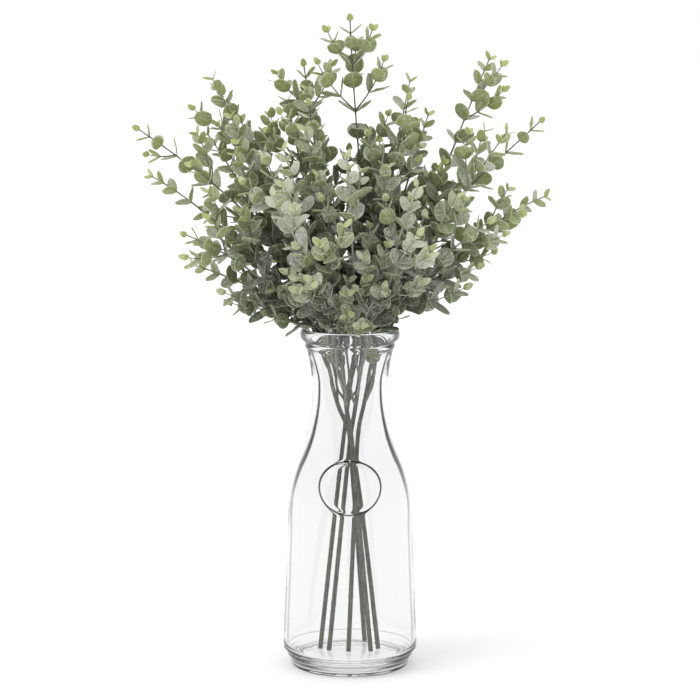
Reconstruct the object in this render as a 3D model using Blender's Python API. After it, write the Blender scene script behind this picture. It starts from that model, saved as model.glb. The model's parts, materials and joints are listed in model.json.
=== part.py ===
"""A bunch of eucalyptus branches standing in a clear glass bottle.

The bottle is a turned glass shell with an open mouth and a raised oval on its front. Six cut stems stand
on its floor. Each stem is one grown piece: a stalk that forks in the neck into sprays, and round leaves
that sit on every spray in opposite pairs, each pair turned a quarter turn from the one before.

Axes: +Z up, front of the bottle towards -Y, origin at the centre of the bottle's foot. Sizes are in
millimetres and become metres where a mesh is made.
"""

import math
import random

import bmesh
import bpy
import numpy as np
from mathutils.bvhtree import BVHTree

MM = 0.001
SEED = 11
UP = np.array((0.0, 0.0, 1.0))

# Bottle
HEEL_OUTLINE = [(45.1, 0.0), (45.1, 3.3), (48.4, 9.0), (50.6, 13.0)]
WALLS = [(131.0, 3.0), (149.0, 3.6), (169.0, 4.6), (222.0, 5.2), (236.0, 5.0)]
FLOOR_HEIGHT = 9.3
FLOOR_FILLET = 9.0
BODY_OUTLINE = [
    (51.7, 18.0), (50.2, 55.0), (48.3, 105.0), (46.9, 131.0), (42.6, 149.0),
    (36.2, 169.0), (31.6, 188.0), (29.2, 206.0), (29.3, 222.0), (31.0, 236.0),
]
SMALL_BEAD = (34.4, 249.0)
SMALL_BEAD_HALF = 2.6
LIP_BEAD = (38.2, 257.3)
LIP_BEAD_HALF = 4.2
MOUTH_RADIUS = 34.4
MOUTH_ROUND = 1.3
BOTTLE_HEIGHT = 262.0
BOTTLE_SIDES = 28

# Raised oval on the front of the bottle
OVAL_HEIGHT = 145.6
OVAL_HALF_WIDTH = 22.0
OVAL_HALF_HEIGHT = 18.8
OVAL_BEAD = 1.2
OVAL_SUNK = 0.4
OVAL_STEPS = 22

# Stalks and sprays
STALK_RADIUS = 2.1
STALK_TOP_RADIUS = 1.8
BRANCH_RADIUS = 1.2
TIP_RADIUS = 0.6
SEAT_GAP = 0.3
STALK_SIDES = 8
STALK_STEP = 34.0
MOUTH_HEIGHT = 263.0
MOUTH_REACH = 28.5
FORK_HALF = 1.2
FORK_ANGLE = math.radians(32)
FORK_CLEAR = 9.0
BEND_STEP = 7.0
NECK_STEP = 18.0
STEM_GAP = 2.2
GLASS_GAP = 1.2
ROOM_FOR_LEAVES = 14.0

# How the curves are bent clear of each other
LINE_STEP = 5.0
LEAFY_LENGTH = 90.0
SPREAD_ROUNDS = 96
ROUNDS_PER_SEARCH = 12
SEARCH_REACH = 26.0
CONTACT_PUSH = 0.5
ROOM_PUSH = 0.03
LARGEST_PUSH = 1.5

# Leaves
SMALL_LEAF = 7.2
LARGE_LEAF = 16.6
LEAF_GROWTH = 3.0
LEAF_WIDTH = 0.98
LEAF_THICK = 0.7
LEAF_SHAPE = [(0.32, 0.49), (0.86, 0.34)]
LEAF_LIFT = math.radians(38)
LEAF_GAP = 0.35
TIP_SPACING = 6.5
FULL_SPACING = 14.0
TIP_STUB = 2.0
MOST_STRETCH = 1.45
SPACING_GROWTH = 1.5
NODE_HALF = 0.55
LOWEST_LEAF = 270.0

# Each stem: where its stalk stands and passes, its own tip, and its side sprays.
# A side spray is (tip x, tip y, tip z, fork height, droop, pairs of leaves).
STEMS = [
    {
        "name": "leafy_stem_1", "swing": 24,
        "stalk": [(22, 7), (10.4, 6, 110), (0.5, 3, 176), (-10.6, 1, 207), (-24, 0, 263)],
        "tip": (-162, 10, 414), "droop": 0.28, "pairs": 8,
        "sprays": [
            (-121, 0, 311, 204, 0.20, 6), (-124, -35, 337, 212, 0.30, 6), (-106, 30, 341, 220, 0.25, 6),
            (-150, -20, 380, 228, 0.30, 7), (-111, 45, 409, 236, 0.20, 7),
        ],
    },
    {
        "name": "leafy_stem_2", "swing": 0,
        "stalk": [(11.7, 31), (4.6, 20, 110), (-0.5, 16, 176), (-4, 18, 207), (-9, 18, 263)],
        "tip": (-36, 55, 462), "droop": 0.05, "pairs": 8,
        "sprays": [
            (-92, 52, 363, 203, 0.25, 6), (-76, 100, 369, 210, 0.25, 6), (-40, 110, 392, 217, 0.20, 5),
            (-107, 44, 452, 224, 0.15, 6), (-90, 75, 425, 231, 0.15, 6), (-49, 30, 436, 239, 0.05, 6),
        ],
    },
    {
        "name": "leafy_stem_3", "swing": 24,
        "stalk": [(16.1, -3), (7.2, -9, 110), (1.5, -14, 176), (-3, -17, 207), (-8, -16, 263)],
        "tip": (-31, -15, 434), "droop": 0.0, "pairs": 7,
        "sprays": [
            (-28, -95, 308, 204, 0.40, 5), (-22, -100, 336, 211, 0.30, 6), (-57, -85, 370, 218, 0.25, 7),
            (-65, -40, 400, 226, 0.15, 6), (-49, -60, 403, 234, 0.15, 7),
            (-58, -30, 296, 242, 0.40, 3),
        ],
    },
    {
        "name": "leafy_stem_4", "swing": 24,
        "stalk": [(-16.3, 1.5), (-6.6, -4, 110), (0, -8.5, 176), (4.5, -12, 207), (11, -14, 263)],
        "tip": (44, -10, 438), "droop": 0.0, "pairs": 7,
        "sprays": [
            (-2, -85, 282, 204, 0.40, 4), (25, -78, 300, 212, 0.35, 5), (50, -86, 341, 220, 0.30, 6),
            (50, -70, 376, 236, 0.20, 6), (-2, -75, 398, 228, 0.15, 8),
            (54, -32, 300, 244, 0.35, 3),
        ],
    },
    {
        "name": "leafy_stem_5", "swing": 24,
        "stalk": [(-1.2, -2.5), (3, -3, 110), (6, -2, 178), (11.4, 0, 207), (22, 1, 263)],
        "tip": (146, 15, 420), "droop": 0.20, "pairs": 8,
        "sprays": [
            (130, 0, 352, 204, 0.30, 7), (151, 20, 362, 212, 0.35, 7), (104, -40, 347, 220, 0.30, 6),
            (118, -25, 414, 228, 0.15, 6), (108, 45, 467, 236, 0.10, 8),
        ],
    },
    {
        "name": "leafy_stem_6", "swing": 24,
        "stalk": [(-23.3, 8), (-12.4, 8.5, 110), (-5, 9.5, 176), (-1, 11, 207), (6, 14, 263)],
        "tip": (0, 15, 497), "droop": 0.0, "pairs": 9,
        "sprays": [
            (100, 75, 385, 204, 0.25, 6), (72, 105, 376, 211, 0.25, 6), (24, 110, 400, 218, 0.20, 5),
            (61, 45, 424, 226, 0.10, 6), (46, 20, 451, 234, 0.05, 6),
        ],
    },
]


def unit(vector):
    """The same direction with length one."""
    return vector / np.linalg.norm(vector)


def smooth_line(points, per_span=12):
    """A smooth curve through hand-chosen points (Catmull-Rom)."""
    points = [np.array(p, float) for p in points]
    padded = [2 * points[0] - points[1]] + points + [2 * points[-1] - points[-2]]
    line = []
    for a, b, c, d in zip(padded, padded[1:], padded[2:], padded[3:]):
        for step in range(per_span):
            t = step / per_span
            line.append(0.5 * (2 * b + (c - a) * t + (2 * a - 5 * b + 4 * c - d) * t * t
                               + (3 * b - a - 3 * c + d) * t ** 3))
    line.append(points[-1])
    return np.array(line)


def hermite(start, end, start_way, end_way, steps=14):
    """A curve from start to end that leaves and arrives along the given directions."""
    t = np.linspace(0, 1, steps)[:, None]
    return ((2 * t ** 3 - 3 * t ** 2 + 1) * start + (t ** 3 - 2 * t ** 2 + t) * start_way
            + (3 * t ** 2 - 2 * t ** 3) * end + (t ** 3 - t ** 2) * end_way)


def lengths(line):
    """Length along the line at each of its points."""
    return np.concatenate(([0.0], np.cumsum(np.linalg.norm(np.diff(line, axis=0), axis=1))))


def point_at(line, distance):
    """The point that lies this far along the line."""
    along = lengths(line)
    return np.array([np.interp(distance, along, line[:, axis]) for axis in range(3)])


def even_steps(line, step):
    """The same line with its points a fixed step apart."""
    total = lengths(line)[-1]
    count = max(2, round(total / step) + 1)
    return np.array([point_at(line, d) for d in np.linspace(0, total, count)])


def bead(radius, height, half, steps):
    """Outer half of a round bead, from its underside to its top."""
    angles = [math.radians(-60 + 120 * k / (steps - 1)) for k in range(steps)]
    return [(radius - half + half * math.cos(a), height + half * math.sin(a)) for a in angles]


def bottle_outside():
    """Outline of the glass from the foot up to the top of the lip."""
    outline = HEEL_OUTLINE + BODY_OUTLINE
    outline += bead(*SMALL_BEAD, SMALL_BEAD_HALF, 3)
    outline += bead(*LIP_BEAD, LIP_BEAD_HALF, 5)
    return outline


def wall_at(height):
    """Thickness of the glass at a height: thin in the blown body, thick in the neck."""
    return float(np.interp(height, [z for z, _ in WALLS], [wall for _, wall in WALLS]))


def bottle_inside():
    """Outline of the hollow from the mouth down to the floor's edge."""
    outline = [(MOUTH_RADIUS + MOUTH_ROUND, BOTTLE_HEIGHT), (MOUTH_RADIUS, BOTTLE_HEIGHT - MOUTH_ROUND)]
    outline += [(r - wall_at(z), z) for r, z in BODY_OUTLINE[::-1] if z > FLOOR_HEIGHT + FLOOR_FILLET]
    low = outline[-1][0]
    for k in range(1, 4):
        angle = math.radians(30 * k)
        outline.append((low - FLOOR_FILLET * (1 - math.cos(angle)),
                        FLOOR_HEIGHT + FLOOR_FILLET * (1 - math.sin(angle))))
    return outline


def inner_radius(height):
    """Radius of the hollow at a height."""
    outline = bottle_inside()[::-1]
    return np.interp(height, [z for _, z in outline], [r for r, _ in outline])


def outer_radius(height):
    """Radius of the glass at a height."""
    outline = bottle_outside()
    return np.interp(height, [z for _, z in outline], [r for r, _ in outline])


def turned(outline, sides):
    """Closed shell of an outline turned about Z, with a flat disc at each end."""
    points = []
    for radius, height in outline:
        for side in range(sides):
            angle = math.tau * (side + 0.5) / sides
            points.append((radius * math.cos(angle), radius * math.sin(angle), height))
    faces = []
    for ring in range(len(outline) - 1):
        for side in range(sides):
            nearby = (side + 1) % sides
            low, high = ring * sides, (ring + 1) * sides
            faces.append((low + side, low + nearby, high + nearby, high + side))
    faces.append(tuple(range(sides))[::-1])
    faces.append(tuple(range((len(outline) - 1) * sides, len(outline) * sides)))
    return points, faces


def oval_ridge():
    """Closed ring of glass that follows the bottle's front in an oval."""
    points = []
    for step in range(OVAL_STEPS):
        angle = math.tau * step / OVAL_STEPS
        x = OVAL_HALF_WIDTH * math.cos(angle)
        z = OVAL_HEIGHT + OVAL_HALF_HEIGHT * math.sin(angle)
        radius = outer_radius(z) - OVAL_SUNK
        y = -math.sqrt(radius ** 2 - x ** 2)
        outward = unit(np.array((x, y, 0.0)))
        sideways = unit(np.array((math.cos(angle) * OVAL_HALF_HEIGHT, 0.0,
                                  math.sin(angle) * OVAL_HALF_WIDTH)))
        for way, reach in ((outward, 1), (sideways, 1), (outward, -1), (sideways, -1)):
            points.append(np.array((x, y, z)) + way * OVAL_BEAD * reach)
    faces = []
    for step in range(OVAL_STEPS):
        here, there = step * 4, (step + 1) % OVAL_STEPS * 4
        for side in range(4):
            nearby = (side + 1) % 4
            faces.append((here + side, here + nearby, there + nearby, there + side))
    return points, faces


def make_object(name, points, faces, material):
    """Mesh object from points in millimetres, faces turned outward and shaded smooth."""
    mesh = bpy.data.meshes.new(name)
    mesh.from_pydata([tuple(float(v) * MM for v in p) for p in points], [], faces)
    solid = bmesh.new()
    solid.from_mesh(mesh)
    bmesh.ops.recalc_face_normals(solid, faces=solid.faces)
    solid.to_mesh(mesh)
    solid.free()
    mesh.materials.append(material)
    mesh.shade_smooth()
    mesh.set_sharp_from_angle(angle=math.radians(35))
    item = bpy.data.objects.new(name, mesh)
    bpy.context.scene.collection.objects.link(item)
    return item


def make_material(name, color, roughness, transmission=0.0):
    """Principled material with the part's colour."""
    material = bpy.data.materials.new(name)
    material.use_nodes = True
    shader = material.node_tree.nodes["Principled BSDF"]
    shader.inputs["Base Color"].default_value = (*color, 1.0)
    shader.inputs["Roughness"].default_value = roughness
    shader.inputs["Metallic"].default_value = 0.0
    shader.inputs["Transmission Weight"].default_value = transmission
    return material


def build_bottle(material):
    """Glass shell with its raised oval joined on."""
    points, faces = turned(bottle_outside() + bottle_inside(), BOTTLE_SIDES)
    bottle = make_object("bottle", points, faces, material)
    ridge = make_object("oval_ridge", *oval_ridge(), material)
    join = bottle.modifiers.new("join_oval", "BOOLEAN")
    join.operation = "UNION"
    join.object = ridge
    bpy.context.view_layer.update()
    evaluated = bottle.evaluated_get(bpy.context.evaluated_depsgraph_get())
    joined = bpy.data.meshes.new_from_object(evaluated)
    bottle.modifiers.remove(join)
    bottle.data = joined
    bpy.data.objects.remove(ridge)
    return bottle


class Spray:
    """One run of stem with leaves: its curve, its radius along the way and its leaf pairs."""

    def __init__(self, stem, line, pairs, parent=None, fork=0.0):
        self.stem = stem
        self.line = line
        self.pairs = pairs
        self.parent = parent
        self.fork = fork
        self.leaves = {}

    def radii(self):
        """Lengths along the stem and its radius at each."""
        total = lengths(self.line)[-1]
        if self.parent is None:
            marks = [0, self.mouth() - 0.5, self.mouth() + 0.5, total]
            return marks, [STALK_RADIUS, STALK_TOP_RADIUS, BRANCH_RADIUS, TIP_RADIUS]
        return [0, total], [BRANCH_RADIUS, TIP_RADIUS]

    def radius(self, distance):
        """Radius of the stem this far along it."""
        return float(np.interp(distance, *self.radii()))

    def mouth(self):
        """Length at which the stem leaves the bottle's neck."""
        return float(np.interp(MOUTH_HEIGHT, self.line[:, 2], lengths(self.line)))


def stalk_line(stem):
    """Curve of a stem's own stalk and top spray."""
    (x, y), *passes = stem["stalk"]
    points = [(x, y, FLOOR_HEIGHT + SEAT_GAP)] + passes
    mouth, tip = np.array(passes[-1], float), np.array(stem["tip"], float)
    lower = smooth_line(points)
    chord = tip - mouth
    way = unit(lower[-1] - lower[-3])
    arrive = unit(unit(chord) - UP * stem["droop"])
    upper = hermite(mouth, tip, way * np.linalg.norm(chord), arrive * np.linalg.norm(chord) * 0.9)
    return np.vstack((lower, upper[1:]))


def side_line(parent, tip, fork_height, droop, swing):
    """Curve of a side spray: out of the stalk, up through the mouth and over to its tip."""
    tip = np.array(tip, float)
    along = float(np.interp(fork_height, parent.line[:, 2], lengths(parent.line)))
    start = point_at(parent.line, along)
    rise = unit(point_at(parent.line, along + 2) - point_at(parent.line, along - 2))
    mouth = start + (tip - start) * (MOUTH_HEIGHT - start[2]) / (tip[2] - start[2])
    reach = math.hypot(mouth[0], mouth[1])
    mouth[:2] *= min(1.0, MOUTH_REACH / reach)
    outward = mouth - start
    outward = unit(outward - rise * outward.dot(rise))
    outward = outward * math.cos(swing) + np.cross(rise, outward) * math.sin(swing)
    leave = unit(rise * math.cos(FORK_ANGLE) + outward * math.sin(FORK_ANGLE))
    through = unit(unit(mouth - start) * 0.6 + unit(tip - mouth))
    arrive = unit(unit(tip - mouth) - UP * droop)
    low = np.linalg.norm(mouth - start)
    high = np.linalg.norm(tip - mouth)
    lower = hermite(start, mouth, leave * low, through * low)
    upper = hermite(mouth, tip, through * high * 0.9, arrive * high * 0.9)
    return along, np.vstack((lower, upper[1:]))


def spread_apart(sprays, moving):
    """Bend the moving sprays clear of each other, of the other sprays and of the glass."""
    for spray in moving:
        spray.line = even_steps(spray.line, LINE_STEP)
    owner = np.concatenate([[k] * len(s.line) for k, s in enumerate(sprays)])
    along = np.concatenate([lengths(s.line) for s in sprays])
    left = np.concatenate([lengths(s.line)[-1] - lengths(s.line) for s in sprays])
    radius = np.concatenate([np.interp(lengths(s.line), *s.radii()) for s in sprays])
    family = np.array([sprays.index(s.parent) if s.parent else k for k, s in enumerate(sprays)])[owner]
    side = np.array([s.parent is not None for s in sprays])[owner]
    near_fork = side & (along < FORK_CLEAR + 1)
    may_move = np.isin(owner, [sprays.index(s) for s in moving]) & (along > 1) & ~near_fork
    leafy = left < LEAFY_LENGTH
    spans = [np.flatnonzero(owner == k) for k in range(len(sprays))]
    places = np.vstack([s.line for s in sprays])
    for turn in range(SPREAD_ROUNDS):
        if turn % ROUNDS_PER_SEARCH == 0:
            first, second = close_pairs(places, SEARCH_REACH)
            kin = family[first] == family[second]
            skip = (owner[first] == owner[second]) | (kin & (near_fork[first] | near_fork[second]))
            first, second = first[~skip], second[~skip]
            contact = radius[first] + radius[second] + STEM_GAP
            room = np.where(leafy[first] & leafy[second], ROOM_FOR_LEAVES, 0.0)
        apart = places[first] - places[second]
        distance = np.linalg.norm(apart, axis=1) + 1e-6
        amount = (np.clip(contact - distance, 0, None) * CONTACT_PUSH
                  + np.clip(room - distance, 0, None) * ROOM_PUSH)
        shove = apart * (amount / distance)[:, None]
        push = np.zeros_like(places)
        np.add.at(push, first, shove)
        np.add.at(push, second, -shove)
        push[~may_move] = 0.0
        push[left < 0.5] *= (0.0, 1.0, 0.0)
        for span in spans:
            for _ in range(3):
                middle = (push[span][:-2] + 2 * push[span][1:-1] + push[span][2:]) / 4
                push[span[1:-1]] = middle
        push[~may_move] = 0.0
        places = places + np.clip(push, -LARGEST_PUSH, LARGEST_PUSH)
        flat = np.hypot(places[:, 0], places[:, 1]) + 1e-6
        inside = places[:, 2] < MOUTH_HEIGHT + 2
        limit = np.where(inside, inner_radius(places[:, 2]) - radius - GLASS_GAP, 1e6)
        places[:, :2] *= np.where(may_move & (flat > limit), limit / flat, 1.0)[:, None]
    for spray, span in zip(sprays, spans):
        spray.line = places[span]


def close_pairs(places, reach):
    """Numbers of the points that lie nearer to each other than a reach, each pair once."""
    first, second = [], []
    for k in range(len(places) - 1):
        near = np.flatnonzero(np.abs(places[k + 1:] - places[k]).max(axis=1) < reach) + k + 1
        first.append(np.full(len(near), k))
        second.append(near)
    return np.concatenate(first), np.concatenate(second)


def grow_layout():
    """Curves of every stalk and spray, bent clear of each other."""
    mains = [Spray(k, stalk_line(stem), stem["pairs"]) for k, stem in enumerate(STEMS)]
    spread_apart(mains, mains)
    sides = []
    for main, stem in zip(mains, STEMS):
        for order, (x, y, z, fork_height, droop, pairs) in enumerate(stem["sprays"]):
            swing = math.radians(stem["swing"]) * (1 if order % 2 else -1)
            fork, line = side_line(main, (x, y, z), fork_height, droop, swing)
            sides.append(Spray(main.stem, line, pairs, main, fork))
    sprays = mains + sides
    spread_apart(sprays, sides)
    for spray in mains + sides:
        spray.line = even_steps(spray.line, 2.0)
    return sprays


def turning_frames(line, stations, first_side):
    """Point, direction and two side directions at each station, with no twist between them."""
    frames = []
    side = first_side
    for distance in stations:
        ahead, behind = point_at(line, distance + 1.5), point_at(line, distance - 1.5)
        way = unit(ahead - behind)
        side = unit(side - way * side.dot(way))
        frames.append((point_at(line, distance), way, side, np.cross(way, side)))
    return frames


def ring(frame, radius, sides):
    """Corners of a stem's cross-section, counter-clockwise about its direction."""
    centre, _, side, across = frame
    corners = []
    for k in range(sides):
        angle = math.tau * (k + 0.5) / sides
        corners.append(centre + radius * (side * math.cos(angle) + across * math.sin(angle)))
    return corners


def leaf_places(spray):
    """Lengths along a spray at which its leaf pairs sit, from the tip down towards the mouth."""
    total = lengths(spray.line)[-1]
    lowest = float(np.interp(LOWEST_LEAF, spray.line[:, 2], lengths(spray.line)))
    gaps = [min(TIP_SPACING + SPACING_GROWTH * k, FULL_SPACING) for k in range(spray.pairs - 1)]
    stretch = min((total - TIP_STUB - lowest) / sum(gaps), MOST_STRETCH)
    return [total - TIP_STUB - stretch * sum(gaps[:k]) for k in range(spray.pairs)]


def leaf_length(order):
    """Length of a leaf by its pair's order from the tip."""
    return LARGE_LEAF - (LARGE_LEAF - SMALL_LEAF) * math.exp(-order / LEAF_GROWTH)


def leaf_rings(root, way, outward, length, lift, roll, extra=0.0):
    """Cross-sections of a leaf blade to its tip, with one at its root where room is tested."""
    across = np.cross(way, outward)
    run = unit(outward * math.cos(lift) + way * math.sin(lift))
    top = unit(way - run * way.dot(run))
    shape = LEAF_SHAPE if extra == 0.0 else [(0.0, 0.06)] + LEAF_SHAPE
    rings = []
    for place, half in shape:
        turn = roll * min(1.0, 0.4 + place)
        wide = across * math.cos(turn) + top * math.sin(turn)
        thick = top * math.cos(turn) - across * math.sin(turn)
        centre = root + run * length * place + thick * length * 0.12 * place ** 2
        half_width = wide * (length * LEAF_WIDTH * half + extra)
        half_thick = thick * (LEAF_THICK / 2 + extra)
        rings.append([centre - half_width - half_thick, centre + half_width - half_thick,
                      centre + half_width + half_thick, centre - half_width + half_thick])
    return rings


def leaf_faces(before, after):
    """Faces between two cross-sections of a leaf, split alike on both sides of the blade."""
    b, a = before, after
    return [(b[0], b[1], a[1]), (b[0], a[1], a[0]), (b[2], b[3], a[2]), (b[3], a[3], a[2]),
            (b[1], b[2], a[2], a[1]), (b[3], b[0], a[0], a[3])]


def leaf_tree(rings):
    """Overlap tester for one leaf."""
    points = [tuple(p) for ring_points in rings for p in ring_points]
    faces = [(0, 1, 2, 3)]
    for k in range(len(rings) - 1):
        low, high = [4 * k + c for c in range(4)], [4 * k + 4 + c for c in range(4)]
        faces += leaf_faces(low, high)
    faces.append(tuple(4 * (len(rings) - 1) + c for c in range(4)))
    return BVHTree.FromPolygons(points, faces, epsilon=0.0)


def stations_of(spray):
    """Lengths along a spray where its stem has a ring, and the leaf pair each ring starts."""
    total = lengths(spray.line)[-1]
    marks = {}
    for order, place in enumerate(spray.places):
        half = NODE_HALF if order < 2 else NODE_HALF + 0.15
        marks[place - half] = ("leaf", order)
        marks[place + half] = ("plain", None)
    marks[total] = ("plain", None)
    lowest = min(spray.places) - 6
    if spray.parent is None:
        mouth = spray.mouth()
        for fork, _ in spray.forks:
            marks[fork - FORK_HALF] = ("fork", fork)
            marks[fork + FORK_HALF] = ("plain", None)
        first = min(fork for fork, _ in spray.forks) - 8
        count = round(first / STALK_STEP)
        for k in range(count + 1):
            marks[first * k / count] = ("plain", None)
        start = mouth
    else:
        start = FORK_CLEAR
    marks[start] = ("plain", None)
    if spray.parent is not None:
        start += BEND_STEP
        marks[start] = ("plain", None)
    count = max(1, round((lowest - start) / NECK_STEP))
    for k in range(1, count + 1):
        if lowest - start > 8:
            marks[start + (lowest - start) * k / count] = ("plain", None)
    order = sorted(marks)
    return order, [marks[d] for d in order]


def prepare(sprays):
    """Fix the rings and frames of every spray and where its leaves may sit."""
    for spray in sprays:
        spray.places = leaf_places(spray)
        spray.forks = []
    for spray in sprays:
        if spray.parent is not None:
            spray.parent.forks.append((spray.fork, spray))
    for spray in sprays:
        spray.stations, spray.marks = stations_of(spray)
        if spray.parent is None:
            first_side = np.array((0.0, -1.0, 0.0))
        else:
            rise = unit(point_at(spray.parent.line, spray.fork + 2)
                        - point_at(spray.parent.line, spray.fork - 2))
            way = unit(point_at(spray.line, FORK_CLEAR + 1) - point_at(spray.line, FORK_CLEAR - 1))
            first_side = rise - way * rise.dot(way)
        spray.frames = turning_frames(spray.line, spray.stations, unit(first_side))
        if spray.parent is None:
            spray.frames[0] = (spray.line[0], UP, first_side, np.cross(UP, first_side))


def stem_tree(spray):
    """Overlap tester for a spray's bare stem."""
    points, faces = [], []
    for k, (frame, distance) in enumerate(zip(spray.frames, spray.stations)):
        points += [tuple(p) for p in ring(frame, spray.radius(distance) + LEAF_GAP, 4)]
        if k:
            for side in range(4):
                nearby = (side + 1) % 4
                low, high = 4 * (k - 1), 4 * k
                faces.append((low + side, low + nearby, high + nearby, high + side))
    return BVHTree.FromPolygons(points, faces, epsilon=0.0)


# Ways to fit a leaf: turn of the blade and change of lift in degrees, and its size.
LEAF_TRIES = [
    (0, 0, 1.0), (18, 0, 1.0), (-18, 0, 1.0), (0, 14, 1.0), (0, -14, 1.0), (30, 10, 0.95),
    (-30, 10, 0.95), (0, 26, 0.9), (15, -24, 0.9), (-15, -24, 0.9), (40, 0, 0.8), (-40, 0, 0.8),
    (0, 30, 0.75), (0, -30, 0.75), (25, 20, 0.6), (-25, 20, 0.6), (0, 0, 0.5),
]


def place_leaves(sprays, bottle_tree):
    """Give every pair its two leaves, turned, lifted or made smaller until they touch nothing."""
    chance = random.Random(SEED)
    stems = [stem_tree(s) for s in sprays]
    taken = []
    for order in range(max(len(s.places) for s in sprays)):
        for number, spray in enumerate(sprays):
            if order >= len(spray.places):
                continue
            station = spray.marks.index(("leaf", order))
            centre, way, side, across = spray.frames[station]
            middle = centre + way * NODE_HALF
            wall = spray.radius(spray.stations[station]) * math.cos(math.pi / 4)
            faces = (0, 2) if order % 2 == 0 else (1, 3)
            for face in faces:
                angle = math.radians(90 * face)
                outward = side * math.cos(angle) + across * math.sin(angle)
                length = leaf_length(order) * chance.uniform(0.9, 1.08)
                lift = LEAF_LIFT + math.radians(chance.uniform(-9, 12) - min(order, 6) * 1.5)
                roll = math.radians(chance.uniform(-16, 16))
                root = middle + outward * wall
                for turn, raised, size in LEAF_TRIES:
                    shape = (root, way, outward, length * size, lift + math.radians(raised),
                             roll + math.radians(turn))
                    test = leaf_tree(leaf_rings(*shape, extra=LEAF_GAP))
                    tip = root + outward * length
                    near = [t for place, t in taken if np.abs(place - tip).max() < 40]
                    if any(test.overlap(t) for t in near) or test.overlap(bottle_tree):
                        continue
                    if any(test.overlap(t) for k, t in enumerate(stems) if k != number):
                        continue
                    spray.leaves[(order, face)] = shape
                    taken.append((tip, test))
                    break


class Shell:
    """Points and faces of one closed body while it grows."""

    def __init__(self):
        self.points = []
        self.faces = []

    def add(self, corners):
        """Add points and give their numbers."""
        start = len(self.points)
        self.points += list(corners)
        return list(range(start, len(self.points)))


def grow_leaf(shell, root, shape):
    """Raise a leaf out of one face of the stem."""
    before = root
    for corners in leaf_rings(*shape):
        after = shell.add(corners)
        shell.faces += leaf_faces(before, after)
        before = after
    shell.faces.append(tuple(before))


def grow_stem(shell, spray, start=None):
    """Grow a stem ring by ring, with its leaves and its side sprays."""
    before = start
    for k, (distance, frame) in enumerate(zip(spray.stations, spray.frames)):
        thick = spray.parent is None and distance < spray.mouth() - 0.5
        sides = STALK_SIDES if thick else 4
        after = shell.add(ring(frame, spray.radius(distance), sides))
        if before is None:
            shell.faces.append(tuple(after[::-1]))
        elif len(before) == 8 and sides == 4:
            for side in range(4):
                shell.faces.append((before[2 * side - 1], before[2 * side], after[side], after[side - 1]))
                shell.faces.append((before[2 * side], before[2 * side + 1], after[side]))
        else:
            kind, value = spray.marks[k - 1] if k else ("plain", None)
            for side in range(sides):
                root = (before[side - 1], before[side], after[side], after[side - 1])
                if kind == "leaf" and (value, side) in spray.leaves:
                    grow_leaf(shell, root, spray.leaves[(value, side)])
                elif kind == "fork" and side == fork_side(spray, k - 1, value):
                    child = next(s for fork, s in spray.forks if fork == value)
                    grow_stem(shell, child, [root[3], root[0], root[1], root[2]])
                else:
                    shell.faces.append(root)
        before = after
    shell.faces.append(tuple(before))


def fork_side(spray, station, fork):
    """Which side of the stalk faces the side spray that forks off here."""
    child = next(s for place, s in spray.forks if place == fork)
    _, _, side, across = spray.frames[station]
    away = point_at(child.line, FORK_CLEAR) - point_at(spray.line, fork)
    angle = math.atan2(away.dot(across), away.dot(side))
    return round(angle / (math.tau / STALK_SIDES)) % STALK_SIDES


def main():
    """Build the bottle and the six leafy stems."""
    for item in list(bpy.data.objects):
        bpy.data.objects.remove(item)
    glass = make_material("bottle_glass", (0.93, 0.95, 0.95), 0.05, transmission=1.0)
    greens = [(0.22, 0.31, 0.20), (0.26, 0.35, 0.24), (0.24, 0.32, 0.23)]
    bottle = build_bottle(glass)
    corners = [tuple(v.co / MM) for v in bottle.data.vertices]
    bottle_tree = BVHTree.FromPolygons(corners, [tuple(p.vertices) for p in bottle.data.polygons])
    sprays = grow_layout()
    prepare(sprays)
    place_leaves(sprays, bottle_tree)
    for number, stem in enumerate(STEMS):
        leaf_green = make_material(stem["name"] + "_green", greens[number % 3], 0.75)
        shell = Shell()
        grow_stem(shell, sprays[number])
        make_object(stem["name"], shell.points, shell.faces, leaf_green)


main()
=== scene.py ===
# %% [markdown]
# # Eucalyptus branches in a glass bottle
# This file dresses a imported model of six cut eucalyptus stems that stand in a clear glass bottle. The packed
# model is the frame: it says where everything is and how large it is. Everything made here is finer than the
# frame and keeps its form. All sizes below are in millimetres and become metres where a mesh is made.

import json
import itertools
import math
import random

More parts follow.
